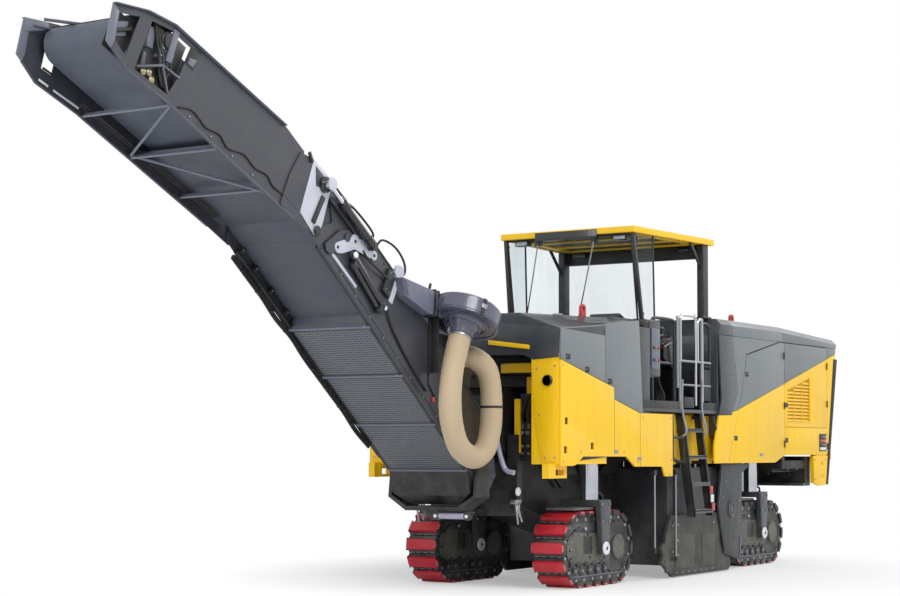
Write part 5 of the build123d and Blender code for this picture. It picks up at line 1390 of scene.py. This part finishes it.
def upper_trim():
    """Folded flanges, wiring and the fold plates of the upper section."""
    piece = Piece("upper_plate_trim", body="conveyor_upper")
    crest = [(0.755, 0.702), (2.03, 0.652), (2.33, 0.642), (2.645, 0.552), (2.983, 0.382)]
    for side in SIDES:
        piece.place = upper_at(plate_y, side)
        piece.each(piece.plate, (band(crest, 0.009), -0.002, 0.03, flange_grey, 0.002),
            ([(2.987, 0.38), (2.923, 0.055), (2.85, 0.035), (2.85, 0.112), (2.907, 0.345)], -0.0105, 0.005,
            flange_grey, 0.002), (band([(0.29, 0.016), (2.14, 0.016), (2.64, -0.018), (2.85, 0.055)], 0.018), -0.001,
            0.016, pan_grey, 0.002))
        piece.bolts([(0.95 + 0.3 * k, 0.055) for k in range(4)], zinc, 0.009)
        # fold plate with its cover, edge bar and boss
        piece.each(piece.plate, ([(0.286, 0.642), (0.025, 0.619), (-0.043, 0.558), (-0.076, 0.18), (-0.071, 0.1),
            (-0.014, 0.02), (0.253, 0.104)], 0.0125, 0.0165, pale_link_and_highlight, 0.002),
            ([(0.24, 0.6), (0.07, 0.58), (0.05, 0.47), (0.16, 0.44)], 0.0165, 0.022, conveyor_grey),
            (strip((0.03, 0.4), (0.06, 0.11), 0.026), 0.0165, 0.034, black, 0.004),
            (strip((0.3, 0.6), (0.38, 0.66), 0.018), 0.012, 0.03, black, 0.004))
        boss = upper_at(plate_y, side).inverted() @ (lower_at(plate_y, side) @ Vector((3.953, 0.48, 0)))
        piece.each(piece.turned, ([(0.06, 0), (0.075, 0.004), (0.075, 0.03), (0.07, 0.036), (0.05, 0.036)],
            (boss.x, boss.y, 0.0165), gloss), ([(0.02, 0), (0.02, 0.03), (0.058, 0.032), (0.062, 0.038), (0.06, 0.05),
            (0.02, 0.054), (0, 0.054)], (boss.x, boss.y, 0.074), pale_link_and_highlight),
            ([(0.045, 0), (0.045, 0.014), (0.036, 0.02), (0, 0.02)],
            (*(upper_at(plate_y, side).inverted() @ Vector((fold_x, side * plate_y, fold_z))).xy, 0.03), black))
    # wiring along the left plate, and panels beside the drive
    piece.place = upper_at(plate_y)
    wiring = [(1.996, 0.049), (1.864, 0.115), (1.745, 0.11), (1.633, 0.088), (1.464, 0.127), (1.322, 0.085),
        (1.124, 0.151), (0.95, 0.126), (0.783, 0.158), (0.67, 0.116), (0.503, 0.12), (0.284, 0.102)]
    piece.tube([(u, v, 0.006) for u, v in wiring], 0.0075, black_rubber, 10)
    piece.bolts(wiring[2::3], zinc, 0.01)
    piece.each(piece.plate, ([(1.95, 0.64), (2.075, 0.6), (2.09, 0.43), (1.98, 0.43)], 0, 0.003, black, 0.001),
        ([(1.98, 0.53), (2.06, 0.5), (2.06, 0.44), (1.995, 0.445)], 0.003, 0.008, flange_grey, 0.002))
    # inner face of the right plate at the head; the white strips on it are painted highlight lines
    piece.place = upper_at(plate_y - 0.01, -1)
    piece.plate([(2.983, 0.379), (2.76, 0.492), (2.715, 0.445), (2.94, 0.262)], -0.006, 0, flange_grey, 0.002)
    for first, last in (((2.706, 0.443), (2.6, 0.45)), ((2.52, 0.454), (2.43, 0.458)),
            ((2.633, 0.005), (2.517, 0.013)), ((2.458, 0.017), (2.148, 0.046))):
        piece.plate(strip(first, last, 0.009), -0.004, 0, white_lamp_and_highlight, 0.001)
    for first, last in (((2.69, 0.262), (2.57, 0.274)), ((2.64, 0.115), (2.53, 0.125))):
        piece.plate(strip(first, last, 0.008), -0.012, 0, black, 0.001)
    piece.done()


def head_drive():
    """Belt drive seen through the openings at the conveyor's tip."""
    piece = Piece("head_drive", body="conveyor_upper")
    piece.place = upper_at()
    piece.block((2.08, 0.03, 0.43), (2.56, 0.6, 0.436), black)
    piece.turned([(0.05, 0), (0.085, 0.004), (0.085, 0.05), (0.07, 0.055), (0.07, 0.07), (0, 0.072)],
        (2.3, 0.49, 0.425), black)
    piece.each(piece.block, ((2.2, 0.3, 0.43), (2.37, 0.43, 0.475), flange_grey, 0.008),
        ((2.24, 0.26, 0.43), (2.34, 0.31, 0.48), pan_grey, 0.006))
    piece.bolts([(2.225, 0.33), (2.34, 0.33), (2.225, 0.4), (2.34, 0.4)], zinc, 0.01, 0.01, 0.475)
    piece.each(piece.rod, ((2.6, 0.47, 0.46), (2.52, 0.28, 0.46), 0.03, black, 20, 0.006),
        ((2.5, 0.25, 0.462), (2.47, 0.14, 0.462), 0.02, pan_grey, 16, 0.004))
    piece.each(piece.plate, ([(2.45, 0.52), (2.52, 0.5), (2.5, 0.32), (2.42, 0.34)], 0.437, 0.45, flange_grey),
        ([(2.315, 0.61), (2.25, 0.62), (2.222, 0.33), (2.285, 0.31)], plate_y - 0.012, plate_y + 0.004, flange_grey))
    for first, last in (((2.545, 0.075), (2.296, 0.256)), ((2.3, 0.256), (2.085, 0.275)),
            ((2.3, 0.25), (2.15, 0.08))):
        piece.each(piece.plate, (strip(first, last, 0.012), plate_y - 0.012, plate_y + 0.003, conveyor_grey, 0.002),
            (strip(first, last, 0.004), plate_y + 0.002, plate_y + 0.006, flange_grey, 0.001))
    for k in range(4):
        piece.tube([(2.14 + 0.02 * k, 0.12, 0.46), (2.2 + 0.03 * k, 0.2, 0.47), (2.2 + 0.05 * k, 0.3, 0.48),
            (2.3 + 0.04 * k, 0.42, 0.47), (2.4 + 0.03 * k, 0.54, 0.46)], 0.012, black_rubber, 8)
    for u, v in ((2.44, 0.1), (2.38, 0.13), (2.33, 0.09)):
        piece.turned([(0.016, 0), (0.03, 0.01), (0.03, 0.022), (0.014, 0.03), (0, 0.032)], (u, v, 0.45), brass)
    # tip opening: stay, pale panel and hose
    piece.block((2.66, 0.04, 0.43), (2.9, 0.4, 0.436), black)
    piece.plate([(2.85, 0.3), (2.74, 0.38), (2.72, 0.25), (2.83, 0.17)], 0.437, 0.447, flange_grey)
    piece.rod((2.86, 0.2, 0.46), (2.7, 0.33, 0.46), 0.018, black, 16, 0.003)
    piece.done()


def fold_cylinders():
    """End caps and hoses on the fold cylinders."""
    for body, span, radius, finish in (("fold_barrels", ((3.14, 0.528), (3.22, 0.523)), 0.045, gloss),
            ("fold_barrels", ((3.62, 0.5), (3.7, 0.495)), 0.044, black), ("fold_rods", ((3.9, 0.483), (3.93, 0.4815)),
            0.032, zinc)):
        piece = Piece(f"{body}_collar_{int(span[0][0] * 100)}", body=body)
        for side in SIDES:
            place = lower_at(0.575, side)
            piece.rod((*span[0], 0), (*span[1], 0), radius, finish, 28, 0.004, place=place)
            if radius == 0.045:
                piece.tube([(3.16, 0.575, 0), (3.2, 0.61, 0.005), (3.35, 0.6, 0.01), (3.55, 0.575, 0.005),
                    (3.66, 0.54, 0)], 0.011, black_rubber, 10, place=place)
        piece.done()


def dust_blower():
    """Leaning drum of the suction blower, its outlet duct and brackets."""
    piece = Piece("blower_housing", body="conveyor_lower")
    lean = tilted((at(4.487), 0.745, 2.819), radians(-25))
    piece.turned([(0, 0.095), (0.1, 0.095), (0.11, 0.088), (0.29, 0.09), (0.335, 0.086), (0.352, 0.072),
        (0.355, 0.05), (0.355, -0.07), (0.348, -0.076), (0.348, -0.088), (0.355, -0.095), (0.33, -0.095),
        (0.322, -0.082), (0.262, -0.078), (0.258, -0.1), (0.236, -0.1), (0.228, -0.088), (0.206, -0.096),
        (0.186, -0.118), (0.166, -0.122), (0.158, -0.15), (0.14, -0.17), (0.13, -0.232), (0.114, -0.235),
        (0, -0.235)], (0, 0, 0), fan_blue, 96, 22, place=lean)
    for spot in ring((0, 0), 0.292, [radians(36 * k + 8) for k in range(10)]):
        piece.rod((*spot, -0.076), (*spot, -0.09), 0.01, zinc, 6, place=lean)
    for x, y in ring((0, 0), 0.2, [radians(150 + 50 * k) for k in range(5)]):
        piece.rod((x, y, -0.1), (0.675 * x, 0.675 * y, -0.2), 0.008, fan_blue, 10, place=lean)
    piece.each(piece.turned, ([(0.122, 0), (0.124, 0.004), (0.124, 0.022), (0.122, 0.026)], (0, 0, -0.232), zinc),
        ([(0.09, 0), (0.1, 0.02), (0.09, 0.05), (0, 0.055)], (0, 0, 0.09), black), place=lean)
    buckle = lean @ Matrix.Rotation(radians(62), 4, "Z")
    piece.each(piece.block, ((0.35, -0.02, -0.1), (0.364, 0.02, 0.08), black, 0.005),
        ((0.352, -0.03, -0.03), (0.376, 0.03, 0.02), zinc, 0.006), place=buckle)
    # outlet duct with its collar, and the plate that carries the drum
    out = Matrix.Translation((drum_x, 0, 0)) @ side_at(plate_y + 0.0003)
    piece.each(piece.plate, ([(4.66, 2.78), (4.7, 3.02), (4.79, 3.034), (5.38, 3.138), (5.33, 2.957), (4.94, 2.815)],
        0, 0.12, outlet_grey, 0.01, (), 3), (strip((4.86, 2.785), (4.83, 3.06), 0.016), -0.004, 0.128, black, 0.004),
        (strip((4.8, 2.775), (4.77, 3.05), 0.012), -0.002, 0.126, gloss, 0.004),
        (strip((4.86, 3.05), (4.83, 3.12), 0.012), 0.05, 0.07, black, 0.004),
        (strip((5.35, 3.12), (5.315, 2.97), 0.012), -0.003, 0.126, pan_grey, 0.004),
        ([(4.3, 2.66), (4.86, 2.92), (4.92, 2.86), (4.36, 2.6)], 0.02, 0.035, black, 0.004), place=out)
    piece.bolts([(5.3, 3.08), (5.27, 2.98), (4.93, 3.02), (4.93, 2.86)], zinc, 0.01, 0.008, 0.12, place=out)
    for x, top in ((4.387, 2.72), (4.757, 2.88)):
        piece.block((x - 0.035, 2.24, 0), (x + 0.035, top, 0.03), black, place=out)
        piece.block((x - 0.006, 2.24, 0.03), (x + 0.006, top, 0.11), black, 0.003, place=out)
    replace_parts(piece.done(), "blower")


def suction_duct():
    """Loose fabric duct from under the blower round to the dust cover, with its clamps and strap."""
    piece = Piece("suction_duct", body="conveyor_lower")
    loop = [(4.586, 0.745, 2.606), (4.66, 0.748, 2.44), (4.735, 0.752, 2.246), (4.772, 0.752, 1.97),
        (4.735, 0.752, 1.725), (4.6, 0.752, 1.505), (4.345, 0.752, 1.405), (4.128, 0.752, 1.489),
        (4.034, 0.752, 1.682), (4.012, 0.752, 1.915), (4.03, 0.75, 2.139), (4.09, 0.73, 2.31), (4.19, 0.64, 2.415),
        (4.225, 0.487, 2.425)]
    points = [(at(x), y, z) for x, y, z in loop]
    piece.tube(points, 0.113, duct_beige, 36, 9, lambda t: 0.112 + 0.0012 * sin(260 * t) + 0.002 * sin(31 * t))
    piece.turned([(0.116, 0), (0.121, 0.004), (0.121, 0.02), (0.116, 0.024)], points[0], zinc,
        direction=(0.42, 0, -0.906))
    piece.turned([(0.114, 0), (0.13, 0.004), (0.13, 0.03), (0.114, 0.034)], (points[-1][0], 0.489, points[-1][2]),
        black, direction=(0, 1, 0))
    piece.turned([(0.112, -0.012), (0.1165, -0.012), (0.1165, 0.012), (0.112, 0.012)], (at(4.012), 0.752, 1.915),
        black)
    piece.block((at(3.88), 0.62, 1.905), (at(3.905), 0.66, 1.927), zinc)
    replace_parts(piece.done(), "suction_hose")


guards()
lower_trim()
upper_bars()
upper_trim()
head_drive()
fold_cylinders()
dust_blower()
suction_duct()
paint_nodes(conveyor_grey, "lower_sides", "upper_sides", "dust_cover")
paint_nodes(rubber, "lower_belt", "upper_belt")
paint_nodes(gloss, "fold_barrels")
paint_nodes(chrome, "fold_rods")
paint_nodes(black, "slew_cradle", "lower_apron")


# ---- crawler tracks, legs, drum and housing
# pale pink pad ends: scuffed rubber that also carries painted light
scuffed_lit_pad_end = coated("scuffed and lit pad end", (206, 104, 110), 0.5, 0.3, 0.4, worn=(120, 40, 48))
frame_olive = coated("track frame paint", (84, 86, 78), 0.5, 0.5, 0.35, worn=(40, 40, 38))
side_olive = coated("worn skid paint", (58, 61, 54), 0.5, 0.35, 0.5, worn=(130, 126, 112))
fender_grey = coated("fender paint", (48, 52, 56), 0.42, 0.25, 0.25)
lilac_rod = coated("cylinder barrel", (166, 164, 186), 0.24, 0.1, 0.1, coat=0.3)
SHOES = 20


def crawler(corner, side):
    """Shoes with bolted pads round one track, and the fittings on both its faces."""
    low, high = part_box(f"track_loop_{corner}")
    mid = (low + high) / 2
    half_wide, tall = (high.y - low.y) / 2, high.z - low.z
    straight, pad_high = high.x - low.x - tall, 0.048
    round_r = tall / 2 - pad_high
    half_way = straight + pi * round_r
    piece = Piece(f"track_shoes_{corner}", body=f"track_{corner}")
    front = corner.startswith("front")
    # front tracks get red pads, rear tracks darker ones
    pad = red_pad if front else dark_rear_pad
    for shoe in range(SHOES):
        # along the top and round the end; the way back is the same, turned over
        back, along = divmod((shoe + 0.88) * 2 * half_way / SHOES, half_way)
        turn = max(along - straight, 0) / round_r
        spot = Vector((min(along, straight) - straight / 2 + round_r * sin(turn), 0, round_r * cos(turn)))
        if back:
            spot, turn = -spot, turn + pi
        piece.place = place = tilted(mid + spot, turn)
        piece.plate([(-0.062, 0), (-0.056, pad_high), (0.056, pad_high), (0.062, 0)], -half_wide + 0.006,
            half_wide - 0.006, pad, 0.007, place=place @ Matrix.Rotation(pi / 2, 4, "X"))
        piece.block((-0.094, -half_wide + 0.012, -0.014), (0.094, half_wide - 0.012, 0.006), black)
        # pad ends are pale pink where the light falls on them and black where they are in shade: painted light and
        # shade chosen by the shoe's place on the loop
        end = scuffed_lit_pad_end if front and spot.x > -0.4 or cos(turn) < -0.8 else black
        for y in (-half_wide, half_wide - 0.008):
            piece.each(piece.block, ((-0.07, y, -0.01), (0.07, y + 0.008, 0.043), black, 0.003),
                ((-0.036, y - 0.001, 0.024), (0.036, y + 0.009, 0.045), end, 0.002))
        for y in (-0.135, -0.045, 0.045, 0.135):
            piece.block((0.083, y - 0.026, 0.004), (0.093, y + 0.026, 0.013), flange_grey, 0.002)
        for y in (-0.09, 0.06, half_wide - 0.045):
            piece.block((-0.1, y, -0.07), (0.1, y + 0.03, -0.012), black, 0.006)
        piece.rod((0.103, -half_wide + 0.03, -0.04), (0.103, half_wide - 0.012, -0.04), 0.02, zinc, 12, 0.003)
    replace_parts(piece.done(), f"track_loop_{corner}")

    # both faces of the roller frame: side casting, rollers, final drive, hub and arm
    piece = Piece(f"track_fittings_{corner}", body=f"track_{corner}")
    for facing, face_y, arm_y in ((side, abs(mid.y) + half_wide - 0.0245, abs(mid.y) + half_wide + 0.057),
            (-side, 0.1545 - abs(mid.y), 0.2515 - abs(mid.y))):
        piece.place = Matrix.Translation((mid.x, 0, 0)) @ side_at(face_y, facing)
        piece.each(piece.plate, ([(-0.27, 0.285), (-0.27, 0.56), (0.5, 0.6), (0.62, 0.56), (0.68, 0.46), (0.67, 0.36),
            (0.6, 0.27), (-0.12, 0.25)], 0, 0.014, frame_olive, 0.005),
            ([(-0.2, 0.31), (-0.2, 0.53), (0.05, 0.545), (0.05, 0.32)], 0.014, 0.02, frame_olive, 0.004),
            ([(0.134, 0.355), (0.32, 0.365), (0.32, 0.55), (0.134, 0.545)], 0.013, 0.016, black, 0.002))
        piece.bolts([(0.6, 0.42), (0.6, 0.5), (0.4, 0.57), (-0.24, 0.52), (-0.24, 0.34)], zinc, 0.014, 0.01, 0.014)
        for x in (-0.08, 0.09, 0.26, 0.43, 0.58):
            piece.block((x - 0.033, 0.23, 0), (x + 0.033, 0.285, 0.0165), black)
            piece.each(piece.turned, ([(0.05, 0), (0.05, 0.012), (0.035, 0.018), (0, 0.019)], (x - 0.08, 0.185, 0),
                black), ([(0.016, 0), (0.016, 0.004), (0, 0.004)], (x - 0.08, 0.185, 0.018), zinc))
        piece.block((-0.55, 0.118, 0), (0.6, 0.13, 0.016), flange_grey, 0.003)
        for x, radius in ((-0.388, 0.285), (0.388, 0.24)):
            piece.turned([(radius, 0), (radius, 0.008), (radius - 0.03, 0.012), (radius - 0.05, 0.004), (0.15, 0.004),
                (0.14, 0.01), (0, 0.01)], (x, tall / 2, 0), black, 64)
            for spot in ring((x, tall / 2), radius - 0.012, 16):
                piece.rod((*spot, 0), (*spot, 0.014), 0.02, black, 10, 0.003)
        piece.turned([(0.135, 0), (0.135, 0.02), (0.125, 0.024), (0.1, 0.018), (0.05, 0.022), (0, 0.022)],
            (-0.45, tall / 2, 0.008), olive_disc, 48)
        piece.bolts(ring((-0.45, tall / 2), 0.112, (0.3, 1.3, 2.4, 3.4, 4.5, 5.5)), olive_disc, 0.009, 0.006, 0.03)
        piece.tube([(-0.2, 0.6, 0.01), (-0.12, 0.66, 0.02), (-0.02, 0.66, 0.02), (0.03, 0.72, 0.01)], 0.013,
            black_rubber)
        piece.turned([(0.022, 0), (0.022, 0.02), (0.012, 0.03), (0, 0.03)], (0.28, 0.63, 0), zinc)
        piece.place = Matrix.Translation((mid.x - 0.04, 0, 0)) @ side_at(arm_y, facing)
        piece.plate([(-0.115, 0.92), (-0.115, 0.86), (-0.07, 0.36), (0.07, 0.36), (0.115, 0.86), (0.115, 0.92)], 0,
            0.008, anthracite, 0.004)
        piece.each(piece.turned, ([(0.072, 0), (0.072, 0.012), (0.062, 0.02), (0.052, 0.02), (0.05, 0.012),
            (0.026, 0.012), (0.022, 0.018), (0, 0.018)], (0, tall / 2, 0.006), white_lamp_and_highlight),
            ([(0.02, 0), (0.02, 0.003), (0, 0.003)], (0, tall / 2, 0.023), black))
        piece.bolts([(-0.09, 0.89), (0.09, 0.89), (-0.075, 0.7), (0.075, 0.7)], zinc, 0.014, 0.01, 0.008)
    # plate over the track with the grease block beside the leg
    piece.place = Matrix.Translation((mid.x, mid.y, 0)) @ Matrix.Diagonal((1, side, 1, 1))
    piece.block((0.1, -0.17, 0.832), (0.52, 0.18, 0.858), cast_grey, 0.006)
    piece.block((-0.26, 0.06, 0.87), (-0.18, 0.2, 0.91), zinc, 0.006)
    for k in range(3):
        x = 0.01 * k - 0.2
        piece.tube([(x, 0.09 + 0.03 * k, 0.9), (x - 0.04, 0.11, 0.97), (x - 0.02, 0.06, 1.02)], 0.01, black_rubber, 8)
    piece.done()


def leg_collars():
    """Dark collars where the leg columns leave the body, and their wiper rings."""
    piece = Piece("leg_collars")
    for corner in CORNERS:
        low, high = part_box(f"leg_column_{corner}")
        mid = (low + high) / 2
        piece.turned([(0.1045, 0), (0.122, 0.004), (0.128, 0.02), (0.128, 0.03), (0.146, 0.034), (0.146, 0.068),
            (0.1045, 0.068)], (mid.x, mid.y, 1.33), black, 48)
        piece.bolts(ring(mid, 0.136, (0.4, 1.4, 2.5, 3.5, 4.6, 5.6)), zinc, 0.01, 0.01, place=level_at(1.355))
    # braces and hoses between the front legs and the drum housing
    for side in SIDES:
        piece.each(piece.rod, ((at(1.55), side * 0.44, 1.32), (at(0.86), side * 0.44, 0.76), 0.028, black, 16),
            ((at(2.42), side * 0.44, 1.33), (at(2.06), side * 0.44, 1.06), 0.02, black, 16))
        piece.tube([(at(1.75), side * 0.48, 1.34), (at(1.62), side * 0.48, 1.16), (at(1.5), side * 0.48, 1.1),
            (at(1.3), side * 0.48, 1.2), (at(1.1), side * 0.48, 1.31)], 0.02, black_rubber)
        piece.block((at(0.6), side * 0.43, 1.2), (at(2.3), side * 0.45, 1.46), black)
    piece.done()


def nose_fittings():
    """Couplings, marker disc and pale conduit at the front corner, and the slewing cylinder with a painted glint on
    each end cap.
    """
    piece = Piece("nose_fittings")
    for side in SIDES:
        piece.turned([(0.046, 0), (0.046, 0.012), (0.036, 0.018), (0, 0.018)], (at(3.25), side * 0.6, 1.04),
            white_lamp_and_highlight, direction=(0, side, 0))
        piece.each(piece.block, ((at(3.2), side * 0.55, 0.91), (at(3.32), side * 0.62, 0.955), zinc),
            ((at(3.18), side * 0.55, 0.79), (at(3.3), side * 0.62, 0.83), black))
        for k, drop in enumerate((0.72, 0.78, 0.7)):
            x = at(3.22 + 0.04 * k)
            piece.tube([(x, side * 0.6, 0.92), (x + 0.02, side * (0.61 + 0.01 * k), 0.84),
                (x - 0.01, side * 0.63, drop)], 0.011, zinc, 10)
    conduit = [(0.43, 1.72), (0.455, 1.56), (0.5, 1.39), (0.56, 1.27), (0.66, 1.24)]
    piece.tube([(at(3.4) + 0.02, y, z) for y, z in conduit], 0.027, lilac_rod)
    piece.done()
    piece = Piece("slew_cylinder", body="conveyor_cradle")
    slew = joints["conveyor_swing"]["pos_m"][0]
    piece.rod((slew + 0.205, 0.15, 0.803), (slew + 0.205, 0.46, 0.803), 0.03, lilac_rod, 28, 0.003)
    for y in (0.12, 0.5):
        piece.turned([(0.03, -0.03), (0.043, -0.02), (0.043, 0.02), (0.03, 0.03)], (slew + 0.205, y, 0.803), black,
            direction=(1, 0, 0))
        # small white discs on the black end caps: painted glints
        piece.turned([(0.018, 0), (0.018, 0.008), (0, 0.01)], (slew + 0.235, y, 0.803), white_lamp_and_highlight,
            direction=(1, 0, 0))
        piece.block((slew + 0.1, y - 0.02, 0.825), (slew + 0.225, y + 0.02, 0.852), black)
    piece.done()


def cutting_drum():
    """Milling drum: tube with tool holders and round-shank picks set in two scrolls towards the middle."""
    piece = Piece("drum_with_picks", body="milling_drum")
    axis_z, half = (drum_low.z + drum_high.z) / 2, drum_high.y - 0.05
    piece.place = tilted((drum_x, 0, axis_z), pi / 2, "X")
    piece.turned([(0, -half - 0.0497), (0.18, -half - 0.0497), (0.18, -half), (0.31, -half), (0.31, half),
        (0.18, half), (0.18, half + 0.0497), (0, half + 0.0497)], (0, 0, 0), tool_steel, 64)
    count = 66
    for k in range(count):
        share = (k + 0.5) / count
        for side in (-1, 1):
            for start in (0,) if k % 2 else (0, pi):
                turn = Matrix.Rotation(share * 9.5 * side + start + (0.4 if side > 0 else 0), 4, "Z")
                seat = piece.place @ turn @ Matrix.Translation((0.31, 0, side * (0.03 + share * (half - 0.06))))
                piece.block((-0.01, -0.045, -0.016), (0.04, 0.03, 0.016), tool_steel, 0.004, 1, place=seat)
                piece.rod((0.03, 0, 0), (0.062, 0.032, 0), 0.019, tool_steel, 10, place=seat)
                piece.rod((0.062, 0.032, 0), (0.096, 0.058, 0), 0.016, zinc, 10, end_radius=0.004, place=seat)
    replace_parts(piece.done(), "milling_drum")


def housing_sides():
    """Skids, wear panels, guide rods and fender cover beside the drum."""
    for name, side in LEFT_RIGHT:
        piece = Piece(f"side_skid_{name}", body=f"side_plate_{name}")
        piece.place = side_at(1.1395, side)
        piece.each(piece.plate, (stations([(0.64, 0.51), (0.13, 0.49), (0.13, 0.1), (0.64, 0.1)]), 0, 0.005,
            side_olive), (stations([(-0.07, 0.48), (-0.43, 0.47), (-0.43, 0.1), (-0.07, 0.1)]), 0, 0.005, side_olive),
            (stations([(1, 0.36), (0.93, 0.42), (0.78, 0.2), (0.84, 0.06)]), -0.03, 0.006, side_olive, 0.006),
            (stations([(0.76, 0.03), (-0.44, 0.03), (-0.44, 0.075), (0.8, 0.085)]), 0, 0.006, skid_olive))
        piece.each(piece.bolts, (stations([(0.565, z) for z in (0.608, 0.425, 0.26)] + [(0.7, 0.6), (0.7, 0.3),
            (-0.4, 0.6)]), zinc, 0.016), (stations([(-0.35 + 0.16 * k, 0.055) for k in range(7)]), zinc, 0.012, 0.005,
            0.004))
        piece.done()
    piece = Piece("housing_trim")
    fender_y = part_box("drum_housing_ends")[1].y - 0.015
    for side in SIDES:
        for x, bottom in ((1.2, 0.32), (0.667, 0.2)):
            piece.place = Matrix.Translation((at(x), 0, 0)) @ Matrix.Diagonal((1, side, 1, 1))
            piece.rod((0, 1.168, bottom), (0, 1.168, 1.2), 0.011, zinc, 16)
            piece.block((-0.03, 1.06, 1.19), (0.03, 1.185, 1.25), black)
            piece.turned([(0.018, 0), (0.018, 0.05), (0.011, 0.06)], (0, 1.168, bottom - 0.01), black)
        piece.place = side_at(fender_y, side)
        piece.each(piece.plate, (stations([(-0.6, 1.29), (-1.39, 1.29), (-1.36, 1.26), (-1.18, 1.19), (-1.15, 0.45),
            (-1.1, 0.14), (-0.67, 0.235), (-0.495, 0.79)]), 0, 0.004, fender_grey, 0.002),
            (stations(strip((-1.135, 0.42), (-1.095, 0.14), 0.012)), 0.003, 0.009, flange_grey),
            (stations(strip((-0.6, 1.27), (-0.51, 0.82), 0.01)), 0.003, 0.008, cast_grey))
        piece.each(piece.turned, ([(0.125, 0), (0.125, 0.006), (0.11, 0.01), (0.1, 0.002)], (at(-0.85), 0.75, 0.003),
            fender_grey, 48), ([(0.094, 0), (0.094, 0.02), (0.08, 0.022), (0.07, 0.01), (0.04, 0.01), (0.036, 0.018),
            (0, 0.018)], (at(-0.85), 0.75, 0.003), cast_grey, 48))
        piece.bolts(stations([(-1.1, 1.1), (-1.08, 0.85), (-1.07, 0.6), (-0.7, 1.1), (-0.62, 0.9)]), zinc, 0.013,
            0.008, 0.003)
    piece.done()


for corner in CORNERS:
    crawler(corner, 1 if corner.endswith("left") else -1)
leg_collars()
nose_fittings()
cutting_drum()
housing_sides()
paint_nodes(black, "main_frame", "scraper_blade", "primary_conveyor", "drum_housing_roof", "hydraulic_tank",
    "front_bulkhead")
paint_nodes(skid_olive, "side_plate_left", "side_plate_right")
paint_nodes(fender_grey, "drum_housing_ends", "drum_front_wall")
paint_nodes(anthracite, "leg_guides", *(f"track_frame_{corner}" for corner in CORNERS))
paint_nodes(chrome, *(f"leg_column_{corner}" for corner in CORNERS))
paint_nodes(yellow, "front_towers")
paint_nodes(red_paint, "lifting_eyes")
paint_nodes(cast_grey, "engine_block")


def plain(bounds):
    """A box as plain lists of numbers."""
    return [[round(float(value), 5) for value in corner] for corner in bounds]
